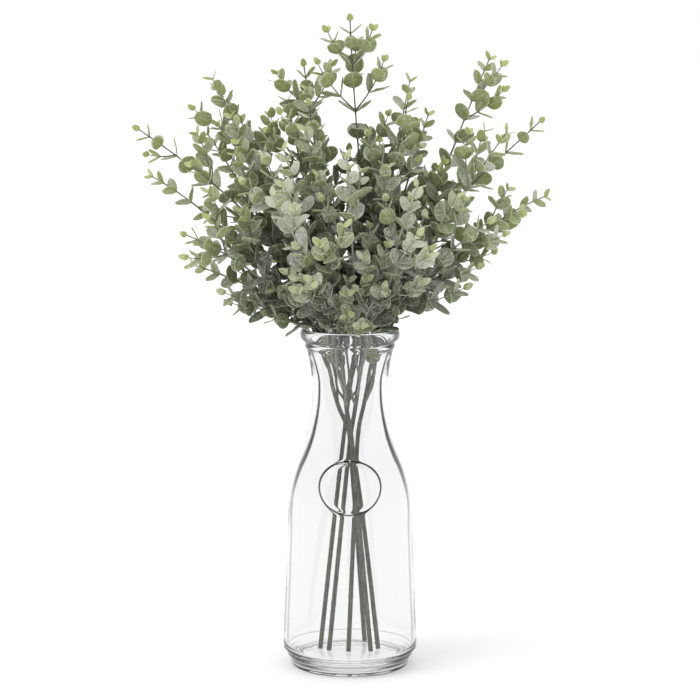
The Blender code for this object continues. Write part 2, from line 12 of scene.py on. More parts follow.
import bpy
import numpy as np
from mathutils.bvhtree import BVHTree
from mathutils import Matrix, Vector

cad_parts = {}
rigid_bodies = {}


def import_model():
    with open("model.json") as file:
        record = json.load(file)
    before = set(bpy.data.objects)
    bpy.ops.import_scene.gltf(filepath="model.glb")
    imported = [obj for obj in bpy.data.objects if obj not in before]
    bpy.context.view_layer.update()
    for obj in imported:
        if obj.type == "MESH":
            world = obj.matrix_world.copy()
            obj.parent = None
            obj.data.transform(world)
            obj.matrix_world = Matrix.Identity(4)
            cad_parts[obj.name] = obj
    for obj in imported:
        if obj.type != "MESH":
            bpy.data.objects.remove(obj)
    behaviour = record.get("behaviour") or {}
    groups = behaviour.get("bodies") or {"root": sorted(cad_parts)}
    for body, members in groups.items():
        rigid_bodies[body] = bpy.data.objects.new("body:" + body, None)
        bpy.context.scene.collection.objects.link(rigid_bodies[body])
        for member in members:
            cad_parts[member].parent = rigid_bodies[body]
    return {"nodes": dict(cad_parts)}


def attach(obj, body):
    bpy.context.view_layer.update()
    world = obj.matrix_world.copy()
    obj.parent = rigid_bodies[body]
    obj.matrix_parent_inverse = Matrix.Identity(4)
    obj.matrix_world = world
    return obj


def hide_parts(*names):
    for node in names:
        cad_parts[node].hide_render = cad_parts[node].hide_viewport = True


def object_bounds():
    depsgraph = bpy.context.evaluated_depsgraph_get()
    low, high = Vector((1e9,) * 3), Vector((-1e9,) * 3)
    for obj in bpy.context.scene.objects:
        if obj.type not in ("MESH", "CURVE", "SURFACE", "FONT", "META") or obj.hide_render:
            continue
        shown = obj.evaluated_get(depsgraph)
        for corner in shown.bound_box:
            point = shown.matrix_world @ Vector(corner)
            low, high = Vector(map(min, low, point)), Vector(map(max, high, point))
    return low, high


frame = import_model()
frame_low, frame_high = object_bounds()

MM = 0.001
UP = np.array((0.0, 0.0, 1.0))
print("frame nodes:", sorted(frame["nodes"]))

# %% [markdown]
# The camera comes first, because every other choice is judged through it. The photograph looks a little down
# on the bottle from nearly two metres away, so upright edges stay almost parallel.

# %% The camera at the photograph's viewpoint
PHOTO_WIDTH_PX = 700
FOCAL_PX = 2537
SENSOR_WIDTH = 36
CAMERA_PLACE = (0.0, -1925.0, 502.0)
CAMERA_DIP_DEG = 7.6


def add_object(name, data):
    """Object in the scene for a mesh, a lamp or a lens."""
    item = bpy.data.objects.new(name, data)
    bpy.context.scene.collection.objects.link(item)
    return item


lens = bpy.data.cameras.new("photo_camera")
lens.sensor_width = SENSOR_WIDTH
lens.lens = SENSOR_WIDTH * FOCAL_PX / PHOTO_WIDTH_PX
camera = add_object("photo_camera", lens)
camera.location = [value * MM for value in CAMERA_PLACE]
camera.rotation_euler = (math.radians(90 - CAMERA_DIP_DEG), 0, 0)
bpy.context.scene.camera = camera
print("lens", round(lens.lens, 1), "mm")

# %% [markdown]
# A stem is a curve first and a solid later. These helpers work on a curve as a plain array of points: they
# measure along it, read a place or a direction from it, resample it and join it smoothly to another.

# %% Curve helpers


def unit(vector):
    """The same direction with length one."""
    return vector / np.linalg.norm(vector)


def square_to(way, vector):
    """The part of a vector that is square to a direction, with length one."""
    return unit(vector - way * vector.dot(way))


def between(first, second, angle):
    """A direction turned towards a second one, which is square to it, by an angle."""
    return first * math.cos(angle) + second * math.sin(angle)


def smooth_line(points, per_span=12):
    """A smooth curve through given points (Catmull-Rom)."""
    points = [np.array(p, float) for p in points]
    padded = [2 * points[0] - points[1]] + points + [2 * points[-1] - points[-2]]
    line = []
    for a, b, c, d in zip(padded, padded[1:], padded[2:], padded[3:]):
        for step in range(per_span):
            t = step / per_span
            line.append(0.5 * (2 * b + (c - a) * t + (2 * a - 5 * b + 4 * c - d) * t * t
                               + (3 * b - a - 3 * c + d) * t ** 3))
    line.append(points[-1])
    return np.array(line)


def hermite(start, end, start_way, end_way, steps=14):
    """A curve from start to end that leaves and arrives along the given directions."""
    t = np.linspace(0, 1, steps)[:, None]
    return ((2 * t ** 3 - 3 * t ** 2 + 1) * start + (t ** 3 - 2 * t ** 2 + t) * start_way
            + (3 * t ** 2 - 2 * t ** 3) * end + (t ** 3 - t ** 2) * end_way)


def lengths(line):
    """Length along the line at each of its points."""
    return np.concatenate(([0.0], np.cumsum(np.linalg.norm(np.diff(line, axis=0), axis=1))))


def read_along(rows, along, distance):
    """Row of three values this far along."""
    return np.array([np.interp(distance, along, rows[:, axis]) for axis in range(3)])


def point_at(line, distance):
    """The point that lies this far along the line."""
    return read_along(line, lengths(line), distance)


def way_at(line, distance, reach):
    """Direction of the line this far along it, read over a reach to either side."""
    return unit(point_at(line, distance + reach) - point_at(line, distance - reach))


def length_at_height(line, height):
    """How far along a rising line a height is reached."""
    return float(np.interp(height, line[:, 2], lengths(line)))


def even_steps(line, step):
    """The same line with its points a fixed step apart."""
    total = lengths(line)[-1]
    count = max(2, round(total / step) + 1)
    return np.array([point_at(line, d) for d in np.linspace(0, total, count)])


# %% [markdown]
# The bottle is a heavy turned carafe. Its outline is drawn once, from the foot to the lip and back down the
# inside, and both the glass and the room that it leaves for the stems are read from the same numbers.

# %% The bottle's outline
HEEL_OUTLINE = [(45.1, 3.3), (46.0, 4.7), (48.4, 9.0), (50.6, 13.6), (51.6, 18.0)]
BODY_OUTLINE = [
    (51.7, 18.0), (50.2, 55.0), (48.3, 105.0), (46.9, 131.0), (42.6, 149.0),
    (36.2, 169.0), (31.6, 188.0), (29.2, 206.0), (29.3, 222.0), (31.0, 236.0),
]
NECK_TOP = [(32.3, 242.0), (33.2, 246.0)]
FOOT_OUTLINE = [
    (30.0, 2.3), (37.0, 2.0), (39.6, 1.2), (41.0, 0.3), (42.0, 0.0), (43.9, 0.0), (44.8, 0.4), (45.1, 1.3),
]
WALLS = [(131.0, 3.0), (149.0, 3.6), (169.0, 4.6), (222.0, 5.2), (236.0, 5.0)]
FLOOR_HEIGHT = 9.3
FLOOR_FILLET = 9.0
SMALL_BEAD = (33.0, 249.0, 1.5, 2.4)
LIP_BEAD = (36.0, 257.6, 2.2, 4.4)
MOUTH_RADIUS = 34.4
MOUTH_ROUND = 1.3
BOTTLE_HEIGHT = 262.0


def read_table(table, value, column=1, key=0):
    """Value from one column of a table, at a place between the rows of its key column."""
    return np.interp(value, [row[key] for row in table], [row[column] for row in table])


def body_inside(low, high):
    """Inner outline of the body between two heights, from the top down: thin below, thick in the neck."""
    return [(r - float(read_table(WALLS, z)), z) for r, z in BODY_OUTLINE[::-1] if low < z < high]


def floor_fillet(radius, steps):
    """Round between the hollow's wall and its floor."""
    angles = [math.radians(90 / steps * k) for k in range(1, steps + 1)]
    return [(radius - FLOOR_FILLET * (1 - math.cos(a)), FLOOR_HEIGHT + FLOOR_FILLET * (1 - math.sin(a)))
            for a in angles]


def hollow_outline():
    """Outline of the frame's hollow from the mouth down to the floor's edge."""
    outline = [(MOUTH_RADIUS + MOUTH_ROUND, BOTTLE_HEIGHT), (MOUTH_RADIUS, BOTTLE_HEIGHT - MOUTH_ROUND)]
    outline += body_inside(FLOOR_HEIGHT + FLOOR_FILLET, BOTTLE_HEIGHT)
    return outline + floor_fillet(outline[-1][0], 3)


HOLLOW = hollow_outline()[::-1]


# %% [markdown]
# Each of the six stems was cut flat, dropped into the bottle and leans where the neck lets it. It forks in
# the neck into sprays that fan out over the rim. The table gives each stalk's passing points, its own tip and
# its side sprays, the same as the frame was grown from, so that the fine stems lie exactly in the plain ones.

# %% The six stems
STALK_RADIUS = 2.1
STALK_TOP_RADIUS = 1.8
BRANCH_RADIUS = 1.2
TIP_RADIUS = 0.6
SEAT_GAP = 0.3
MOUTH_HEIGHT = 263.0
MOUTH_REACH = 28.5
FORK_ANGLE = math.radians(32)
FORK_CLEAR = 9.0
STEM_GAP = 2.2
GLASS_GAP = 1.2
ROOM_FOR_LEAVES = 14.0
WAY_REACH = 2.0
ARRIVE_PULL = 0.9
NECK_PULL = 0.6
LINE_STEP = 5.0
SPRAY_STEP = 2.0
LEAFY_LENGTH = 90.0
SPREAD_ROUNDS = 96
ROUNDS_PER_SEARCH = 12
SEARCH_REACH = 26.0
CONTACT_PUSH = 0.5
ROOM_PUSH = 0.03
LARGEST_PUSH = 1.5
SMOOTHINGS = 3
TINY = 1e-6
NO_LIMIT = 1e6

STEMS = [
    {
        "name": "leafy_stem_1", "swing": 24,
        "stalk": [(22, 7), (10.4, 6, 110), (0.5, 3, 176), (-10.6, 1, 207), (-24, 0, 263)],
        "tip": (-162, 10, 414), "droop": 0.28, "pairs": 8,
        "sprays": [
            (-121, 0, 311, 204, 0.20, 6), (-124, -35, 337, 212, 0.30, 6), (-106, 30, 341, 220, 0.25, 6),
            (-150, -20, 380, 228, 0.30, 7), (-111, 45, 409, 236, 0.20, 7),
        ],
    },
    {
        "name": "leafy_stem_2", "swing": 0,
        "stalk": [(11.7, 31), (4.6, 20, 110), (-0.5, 16, 176), (-4, 18, 207), (-9, 18, 263)],
        "tip": (-36, 55, 462), "droop": 0.05, "pairs": 8,
        "sprays": [
            (-92, 52, 363, 203, 0.25, 6), (-76, 100, 369, 210, 0.25, 6), (-40, 110, 392, 217, 0.20, 5),
            (-107, 44, 452, 224, 0.15, 6), (-90, 75, 425, 231, 0.15, 6), (-49, 30, 436, 239, 0.05, 6),
        ],
    },
    {
        "name": "leafy_stem_3", "swing": 24,
        "stalk": [(16.1, -3), (7.2, -9, 110), (1.5, -14, 176), (-3, -17, 207), (-8, -16, 263)],
        "tip": (-31, -15, 434), "droop": 0.0, "pairs": 7,
        "sprays": [
            (-28, -95, 308, 204, 0.40, 5), (-22, -100, 336, 211, 0.30, 6), (-57, -85, 370, 218, 0.25, 7),
            (-65, -40, 400, 226, 0.15, 6), (-49, -60, 403, 234, 0.15, 7),
            (-58, -30, 296, 242, 0.40, 3),
        ],
    },
    {
        "name": "leafy_stem_4", "swing": 24,
        "stalk": [(-16.3, 1.5), (-6.6, -4, 110), (0, -8.5, 176), (4.5, -12, 207), (11, -14, 263)],
        "tip": (44, -10, 438), "droop": 0.0, "pairs": 7,
        "sprays": [
            (-2, -85, 282, 204, 0.40, 4), (25, -78, 300, 212, 0.35, 5), (50, -86, 341, 220, 0.30, 6),
            (50, -70, 376, 236, 0.20, 6), (-2, -75, 398, 228, 0.15, 8),
            (54, -32, 300, 244, 0.35, 3),
        ],
    },
    {
        "name": "leafy_stem_5", "swing": 24,
        "stalk": [(-1.2, -2.5), (3, -3, 110), (6, -2, 178), (11.4, 0, 207), (22, 1, 263)],
        "tip": (146, 15, 420), "droop": 0.20, "pairs": 8,
        "sprays": [
            (130, 0, 352, 204, 0.30, 7), (151, 20, 362, 212, 0.35, 7), (104, -40, 347, 220, 0.30, 6),
            (118, -25, 414, 228, 0.15, 6), (108, 45, 467, 236, 0.10, 8),
        ],
    },
    {
        "name": "leafy_stem_6", "swing": 24,
        "stalk": [(-23.3, 8), (-12.4, 8.5, 110), (-5, 9.5, 176), (-1, 11, 207), (6, 14, 263)],
        "tip": (0, 15, 497), "droop": 0.0, "pairs": 9,
        "sprays": [
            (100, 75, 385, 204, 0.25, 6), (72, 105, 376, 211, 0.25, 6), (24, 110, 400, 218, 0.20, 5),
            (61, 45, 424, 226, 0.10, 6), (46, 20, 451, 234, 0.05, 6),
        ],
    },
]


class Spray:
    """One run of stem with leaves: its curve, its radius along the way and its leaf pairs."""

    def __init__(self, stem, line, pairs, parent=None, fork=0.0):
        self.stem = stem
        self.line = line
        self.pairs = pairs
        self.parent = parent
        self.fork = fork

    def radii(self):
        """Lengths along the stem and its radius at each."""
        total = lengths(self.line)[-1]
        if self.parent is None:
            marks = [0, self.mouth() - 0.5, self.mouth() + 0.5, total]
            return marks, [STALK_RADIUS, STALK_TOP_RADIUS, BRANCH_RADIUS, TIP_RADIUS]
        return [0, total], [BRANCH_RADIUS, TIP_RADIUS]

    def mouth(self):
        """Length at which the stem leaves the bottle's neck."""
        return length_at_height(self.line, MOUTH_HEIGHT)


def stalk_line(stem):
    """Curve of a stem's own stalk and top spray."""
    (x, y), *passes = stem["stalk"]
    points = [(x, y, FLOOR_HEIGHT + SEAT_GAP)] + passes
    mouth, tip = np.array(passes[-1], float), np.array(stem["tip"], float)
    lower = smooth_line(points)
    chord = tip - mouth
    way = unit(lower[-1] - lower[-3])
    arrive = unit(unit(chord) - UP * stem["droop"])
    reach = np.linalg.norm(chord)
    upper = hermite(mouth, tip, way * reach, arrive * reach * ARRIVE_PULL)
    return np.vstack((lower, upper[1:]))


def side_line(parent, tip, fork_height, droop, swing):
    """Curve of a side spray: out of the stalk, up through the mouth and over to its tip."""
    tip = np.array(tip, float)
    along = length_at_height(parent.line, fork_height)
    start = point_at(parent.line, along)
    rise = way_at(parent.line, along, WAY_REACH)
    mouth = start + (tip - start) * (MOUTH_HEIGHT - start[2]) / (tip[2] - start[2])
    mouth[:2] *= min(1.0, MOUTH_REACH / math.hypot(mouth[0], mouth[1]))
    outward = square_to(rise, mouth - start)
    outward = between(outward, np.cross(rise, outward), swing)
    leave = unit(between(rise, outward, FORK_ANGLE))
    through = unit(unit(mouth - start) * NECK_PULL + unit(tip - mouth))
    arrive = unit(unit(tip - mouth) - UP * droop)
    low = np.linalg.norm(mouth - start)
    high = np.linalg.norm(tip - mouth)
    lower = hermite(start, mouth, leave * low, through * low)
    upper = hermite(mouth, tip, through * high * ARRIVE_PULL, arrive * high * ARRIVE_PULL)
    return along, np.vstack((lower, upper[1:]))


# %% [markdown]
# Thirty-nine curves that pass one narrow neck would run through each other. Real stems push each other aside,
# so the curves are nudged apart in small steps until they only touch, and kept inside the glass. Only pairs
# of points that lie near each other are looked at, which keeps this to a few seconds.

# %% Push the stems clear of each other


def close_pairs(places, reach):
    """Numbers of the points that lie nearer to each other than a reach, each pair once."""
    first, second = [], []
    for k in range(len(places) - 1):
        near = np.flatnonzero(np.abs(places[k + 1:] - places[k]).max(axis=1) < reach) + k + 1
        first.append(np.full(len(near), k))
        second.append(near)
    return np.concatenate(first), np.concatenate(second)


def spread_apart(sprays, moving):
    """Bend the moving sprays clear of each other, of the other sprays and of the glass."""
    for spray in moving:
        spray.line = even_steps(spray.line, LINE_STEP)
    owner = np.concatenate([[k] * len(s.line) for k, s in enumerate(sprays)])
    along = np.concatenate([lengths(s.line) for s in sprays])
    left = np.concatenate([lengths(s.line)[-1] - lengths(s.line) for s in sprays])
    radius = np.concatenate([np.interp(lengths(s.line), *s.radii()) for s in sprays])
    family = np.array([sprays.index(s.parent) if s.parent else k for k, s in enumerate(sprays)])[owner]
    side = np.array([s.parent is not None for s in sprays])[owner]
    near_fork = side & (along < FORK_CLEAR + 1)
    may_move = np.isin(owner, [sprays.index(s) for s in moving]) & (along > 1) & ~near_fork
    leafy = left < LEAFY_LENGTH
    spans = [np.flatnonzero(owner == k) for k in range(len(sprays))]
    places = np.vstack([s.line for s in sprays])
    for turn in range(SPREAD_ROUNDS):
        if turn % ROUNDS_PER_SEARCH == 0:
            first, second = close_pairs(places, SEARCH_REACH)
            kin = family[first] == family[second]
            skip = (owner[first] == owner[second]) | (kin & (near_fork[first] | near_fork[second]))
            first, second = first[~skip], second[~skip]
            contact = radius[first] + radius[second] + STEM_GAP
            room = np.where(leafy[first] & leafy[second], ROOM_FOR_LEAVES, 0.0)
        apart = places[first] - places[second]
        distance = np.linalg.norm(apart, axis=1) + TINY
        amount = (np.clip(contact - distance, 0, None) * CONTACT_PUSH
                  + np.clip(room - distance, 0, None) * ROOM_PUSH)
        shove = apart * (amount / distance)[:, None]
        push = np.zeros_like(places)
        np.add.at(push, first, shove)
        np.add.at(push, second, -shove)
        push[~may_move] = 0.0
        push[left < LINE_STEP / 10] *= (0.0, 1.0, 0.0)
        for span in spans:
            for _ in range(SMOOTHINGS):
                push[span[1:-1]] = (push[span][:-2] + 2 * push[span][1:-1] + push[span][2:]) / 4
        push[~may_move] = 0.0
        places = places + np.clip(push, -LARGEST_PUSH, LARGEST_PUSH)
        flat = np.hypot(places[:, 0], places[:, 1]) + TINY
        inside = places[:, 2] < MOUTH_HEIGHT + 2
        limit = read_table(HOLLOW, places[:, 2], column=0, key=1) - radius - GLASS_GAP
        limit = np.where(inside, limit, NO_LIMIT)
        places[:, :2] *= np.where(may_move & (flat > limit), limit / flat, 1.0)[:, None]
    for spray, span in zip(sprays, spans):
        spray.line = places[span]


def grow_layout():
    """Curves of every stalk and spray, bent clear of each other."""
    mains = [Spray(k, stalk_line(stem), stem["pairs"]) for k, stem in enumerate(STEMS)]
    spread_apart(mains, mains)
    sides = []
    for main, stem in zip(mains, STEMS):
        for order, (x, y, z, fork_height, droop, pairs) in enumerate(stem["sprays"]):
            swing = math.radians(stem["swing"]) * (1 if order % 2 else -1)
            fork, line = side_line(main, (x, y, z), fork_height, droop, swing)
            sides.append(Spray(main.stem, line, pairs, main, fork))
    sprays = mains + sides
    spread_apart(sprays, sides)
    for spray in sprays:
        spray.line = even_steps(spray.line, SPRAY_STEP)
    return sprays


sprays = grow_layout()
print("stems and sprays:", len(sprays))

# %% [markdown]
# Leaves sit on a spray in opposite pairs, and each pair is turned a quarter turn from the one before. For
# that a stem needs side directions that travel along its curve without twisting. They are carried from ring
# to ring, each time made square to the stem again.

# %% Directions that travel along a stem


def travelling_sides(line, first_side):
    """Direction of the stem and one side direction at each of its points, with no twist."""
    ways = np.gradient(line, axis=0)
    ways /= np.linalg.norm(ways, axis=1)[:, None]
    sides = [first_side]
    for way in ways:
        sides.append(square_to(way, sides[-1]))
    return ways, np.array(sides[1:])


def set_sides(spray):
    """Give a spray its travelling directions."""
    first_side = np.array((0.0, -1.0, 0.0))
    if spray.parent:
        rise = way_at(spray.parent.line, spray.fork, WAY_REACH)
        first_side = square_to(way_at(spray.line, FORK_CLEAR, 1), rise)
    spray.ways, spray.sides = travelling_sides(spray.line, first_side)


def frame_at(spray, distance, angle):
    """Point this far along a spray, its direction there and the way out of it at an angle round it."""
    along = lengths(spray.line)
    way = unit(read_along(spray.ways, along, distance))
    side = square_to(way, read_along(spray.sides, along, distance))
    return point_at(spray.line, distance), way, between(side, np.cross(way, side), angle)


for spray in sprays:
    set_sides(spray)

# %% [markdown]
# Where a leaf may sit is settled with a coarse blade: a closed plate of a few sections that is tested against
# everything placed before it. A leaf that would cut another is turned, lifted or made smaller, and left out
# if nothing helps. The frame's own leaves are placed first, with the same draws, so the fine bunch keeps its
# form.

# %% Find room for a leaf
SEED = 11
SMALL_LEAF = 7.2
LARGE_LEAF = 16.6
LEAF_GROWTH = 3.0
LEAF_WIDTH = 0.98
LEAF_THICK = 0.7
LEAF_SHAPE = [(0.32, 0.49), (0.86, 0.34), (1.0, 0.12)]
LEAF_FOOT = 0.3
LEAF_LIFT = math.radians(38)
LEAF_GAP = 0.35
TIP_SPACING = 6.5
FULL_SPACING = 14.0
TIP_STUB = 2.0
MOST_STRETCH = 1.45
SPACING_GROWTH = 1.5
LOWEST_LEAF = 270.0
LEAF_REACH = 40.0
LEAF_STALK = 2.6
LEAF_SEAT = 0.7
BLADE_BOW = 0.12
TURN_AT_FOOT = 0.4
NO_STEMS_WAY = (0.3, 0.5, 0.2)
NEAR_GLASS = 22.0

# Ways to fit a leaf: turn of the blade and change of lift in degrees, and its size.
LEAF_TRIES = [
    (0, 0, 1.0), (18, 0, 1.0), (-18, 0, 1.0), (0, 14, 1.0), (0, -14, 1.0), (30, 10, 0.95),
    (-30, 10, 0.95), (0, 26, 0.9), (15, -24, 0.9), (-15, -24, 0.9), (40, 0, 0.8), (-40, 0, 0.8),
    (0, 30, 0.75), (0, -30, 0.75), (25, 20, 0.6), (-25, 20, 0.6), (0, 0, 0.5),
]


def skin_faces(rows, columns, start=0):
    """Four-cornered faces between rows of points that each run once round."""
    faces = []
    for low in range(start, start + (rows - 1) * columns, columns):
        for here in range(columns):
            there = (here + 1) % columns
            faces.append((low + here, low + there, low + columns + there, low + columns + here))
    return faces


def plate_tree(rings):
    """Overlap tester for a row of four-cornered sections, closed at both ends."""
    last = 4 * len(rings) - 4
    faces = [(0, 1, 2, 3)] + skin_faces(len(rings), 4) + [(last, last + 1, last + 2, last + 3)]
    return BVHTree.FromPolygons(np.reshape(rings, (-1, 3)).tolist(), faces, epsilon=0.0)


def leaf_frame(leaf):
    """Directions of a leaf before its blade turns: across it, along it and out of its upper face."""
    run = unit(between(leaf["outward"], leaf["way"], leaf["lift"]))
    return np.cross(leaf["way"], leaf["outward"]), run, square_to(run, leaf["way"])


def leaf_sections(leaf, start, gap):
    """Coarse cross-sections of a leaf, grown by a gap, from a start along it to its tip."""
    across, run, top = leaf_frame(leaf)
    length = leaf["length"]
    rings = []
    for place, half in [(start, LEAF_FOOT)] + LEAF_SHAPE:
        turn = leaf["roll"] * min(1.0, TURN_AT_FOOT + place)
        wide, thick = between(across, top, turn), between(top, across, -turn)
        centre = leaf["root"] + run * length * place + thick * length * BLADE_BOW * place ** 2
        half_width = wide * (length * LEAF_WIDTH * half + gap)
        half_thick = thick * (LEAF_THICK / 2 + gap)
        rings.append([centre - half_width - half_thick, centre + half_width - half_thick,
                      centre + half_width + half_thick, centre - half_width + half_thick])
    return rings


def stem_sections(line, radii):
    """Square cross-sections along a stem, for the overlap test."""
    ways, sides = travelling_sides(line, unit(np.cross(line[1] - line[0], NO_STEMS_WAY)))
    rings = []
    for place, way, side, radius in zip(line, ways, sides, radii):
        first, second = side * radius, np.cross(way, side) * radius
        rings.append([place + first, place + second, place - first, place - second])
    return rings


class Room:
    """What is already in the bunch, and whether something new still fits."""

    def __init__(self, stems):
        self.stems = stems
        self.places = np.zeros((0, 3))
        self.trees = []

    def is_free(self, tree, place):
        """True if a tester overlaps no stem and nothing near its place."""
        near = np.flatnonzero(np.abs(self.places - place).max(axis=1) < LEAF_REACH)
        return not any(tree.overlap(self.trees[k]) for k in near) and not self.stems.overlap(tree)

    def take(self, tree, place):
        """Remember a tester."""
        self.places = np.vstack((self.places, place))
        self.trees.append(tree)


def leaf_places(spray):
    """Lengths along a spray at which the frame's leaf pairs sit, from the tip down."""
    highest = lengths(spray.line)[-1] - TIP_STUB
    lowest = length_at_height(spray.line, LOWEST_LEAF)
    gaps = [min(TIP_SPACING + SPACING_GROWTH * k, FULL_SPACING) for k in range(spray.pairs - 1)]
    stretch = min((highest - lowest) / sum(gaps), MOST_STRETCH)
    return [highest - stretch * sum(gaps[:k]) for k in range(spray.pairs)]


def leaf_length(order):
    """Length of a leaf by its pair's order from the tip."""
    return LARGE_LEAF - (LARGE_LEAF - SMALL_LEAF) * math.exp(-order / LEAF_GROWTH)


def random_angle(draws, range_deg):
    """Angle drawn from a range that is given in degrees."""
    return math.radians(draws.uniform(*range_deg))


def pair_faces(order):
    """Quarter turns at which a pair's two leaves stand."""
    return (0, 2) if order % 2 == 0 else (1, 3)


glass_tree = BVHTree.FromObject(frame["nodes"]["bottle"], bpy.context.evaluated_depsgraph_get())
leaves = []


def cuts_glass(rings):
    """True if a row of sections overlaps the frame's bottle, which is in metres."""
    return bool(plate_tree(np.array(rings) * MM).overlap(glass_tree))


def fit_leaf(spray, place, face, length, lift, roll, age):
    """Try a leaf in several attitudes and keep the first that touches nothing."""
    centre, way, outward = frame_at(spray, place, math.radians(90 * face))
    root = centre + outward * (float(np.interp(place, *spray.radii())) * LEAF_SEAT)
    for turn, raised, size in LEAF_TRIES:
        leaf = {"root": root, "way": way, "outward": outward, "length": length * size, "age": age,
                "lift": lift + math.radians(raised), "roll": roll + math.radians(turn), "stem": spray.stem}
        rings = leaf_sections(leaf, start=LEAF_STALK / leaf["length"], gap=LEAF_GAP / 2)
        tree = plate_tree(rings)
        tip = root + outward * leaf["length"]
        near_glass = tip[2] < MOUTH_HEIGHT + NEAR_GLASS
        if room.is_free(tree, tip) and not (near_glass and cuts_glass(rings)):
            room.take(tree, tip)
            leaves.append(leaf)
            return


# %% [markdown]
# One tester holds every bare stem, so that no leaf runs through a twig.

# %% One overlap tester for all the stems


def joined_tree(rows_of_rings):
    """Overlap tester for several rows of four-cornered sections."""
    points, faces = [], []
    for rings in rows_of_rings:
        faces += skin_faces(len(rings), 4, len(points))
        points += np.reshape(rings, (-1, 3)).tolist()
    return BVHTree.FromPolygons(points, faces, epsilon=0.0)


def spray_sections(spray):
    """Sections of a spray's bare stem."""
    radii = np.interp(lengths(spray.line), *spray.radii())
    return stem_sections(spray.line, radii + LEAF_GAP)


room = Room(joined_tree([spray_sections(s) for s in sprays]))

# %% [markdown]
# The frame's leaf pairs go in first, in the frame's own order: all tip pairs, then all second pairs, and so
# on down. Leaves near a tip are young, small and yellow-green, and those lower down are full grown.

# %% Place the frame's own leaves
LEAF_SIZES = (0.9, 1.08)
LEAF_LIFTS_DEG = (-9, 12)
LEAF_ROLLS_DEG = (-16, 16)
DROOP_DEG = 1.5
DROOPING_PAIRS = 6

chance = random.Random(SEED)
for spray in sprays:
    spray.places = leaf_places(spray)
for order in range(max(len(s.places) for s in sprays)):
    for spray in sprays:
        if order >= len(spray.places):
            continue
        for face in pair_faces(order):
            length = leaf_length(order) * chance.uniform(*LEAF_SIZES)
            droop = min(order, DROOPING_PAIRS) * DROOP_DEG
            lift = LEAF_LIFT + math.radians(chance.uniform(*LEAF_LIFTS_DEG) - droop)
            roll = random_angle(chance, LEAF_ROLLS_DEG)
            fit_leaf(spray, spray.places[order], face, length, lift, roll, order)
print("leaves as in the frame:", len(leaves))

# %% [markdown]
# The real bunch is fuller than the frame's plain solids can be. More pairs follow below the frame's, down to
# the rim and a little way into the neck.

# %% Add the lower leaves
extra = random.Random(SEED + 1)
LOWER_SPACING = 12.5
LOWEST_FINE_LEAF = 246.0
NECK_LEAF = 12.0
CLEAR_OF_FORK = 4.0
DOWN_THE_NECK = 12.0
OVER_THE_RIM = 8.0
LOWER_SIZES = (0.88, 1.08)
LOWER_LIFTS_DEG = (-14, 16)
LOWER_ROLLS_DEG = (-20, 20)
LOWER_STEPS = (0.85, 1.2)

for spray in sprays:
    lowest = length_at_height(spray.line, LOWEST_FINE_LEAF)
    lowest = max(lowest, FORK_CLEAR + CLEAR_OF_FORK if spray.parent else spray.mouth() - DOWN_THE_NECK)
    place = spray.places[-1] - LOWER_SPACING
    while place > lowest:
        order = len(spray.places)
        over_rim = point_at(spray.line, place)[2] > MOUTH_HEIGHT + OVER_THE_RIM
        for face in pair_faces(order):
            lift = LEAF_LIFT + random_angle(extra, LOWER_LIFTS_DEG)
            size = (leaf_length(order) if over_rim else NECK_LEAF) * extra.uniform(*LOWER_SIZES)
            fit_leaf(spray, place, face, size, lift, random_angle(extra, LOWER_ROLLS_DEG), order)
        spray.places.append(place)
        place -= LOWER_SPACING * extra.uniform(*LOWER_STEPS)
print("with the lower pairs:", len(leaves))

# %% [markdown]
# Two large leaves hang down inside the neck and show through the glass, face on. Each is tried on every stem
# that passes near its place, in many attitudes, and the one that comes nearest to the place is kept.

# %% Hang two leaves in the neck
# Where the two leaves hang, across and up, and how long they are.
NECK_LEAVES = [(-10.0, 241.0, 13.4), (14.5, 241.5, 13.0)]
NECK_LEAF_AGE = 7
NECK_LEAF_STALK = 4.0
ROOTS_BELOW, ROOTS_ABOVE, ROOT_STEP = 4, 14, 2
CLEAR_OF_START = 8.0
NEAREST_TO_FRONT = -7.0
MOST_OFF = 5.0
LEAST_FACING = 0.8
HANGING_ANGLES_DEG = (range(0, 360, 30), (-75, -50, -20, 10), (-80, -40, 0, 40, 80))


def hanging_leaf(spray, height, angles_deg, length):
    """A leaf at a height of a stem, at three angles (round the stem, lift and roll), and its middle."""
    face, lift, roll = [math.radians(angle) for angle in angles_deg]
    centre, way, outward = frame_at(spray, length_at_height(spray.line, height), face)
    leaf = {"root": centre + outward * BRANCH_RADIUS * 0.6, "way": way, "outward": outward, "length": length,
            "lift": lift, "roll": roll, "age": NECK_LEAF_AGE, "stem": spray.stem}
    return leaf, leaf["root"] + leaf_frame(leaf)[1] * length * 0.5


def neck_leaf_choices(x, z, length):
    """Attitudes that bring a leaf near its place and turn its face forward, the nearest first."""
    choices = []
    heights = range(int(z) - ROOTS_BELOW, int(z) + ROOTS_ABOVE, ROOT_STEP)
    for spray, height in itertools.product(sprays, heights):
        near = read_along(spray.line, spray.line[:, 2], height)
        too_low = height < spray.line[0][2] + CLEAR_OF_START
        if near[1] > NEAREST_TO_FRONT or abs(near[0] - x) > length or too_low:
            continue
        for angles in itertools.product(*HANGING_ANGLES_DEG):
            leaf, middle = hanging_leaf(spray, height, angles, length)
            off = math.hypot(middle[0] - x, middle[2] - z)
            if off >= MOST_OFF:
                continue
            sections = leaf_sections(leaf, start=NECK_LEAF_STALK / length, gap=0.0)
            wide, run = sections[2][1] - sections[2][0], sections[2][0] - sections[1][0]
            if abs(unit(np.cross(wide, run))[1]) > LEAST_FACING:
                choices.append((off, len(choices), leaf, sections, middle))
    return sorted(choices, key=lambda choice: choice[:2])


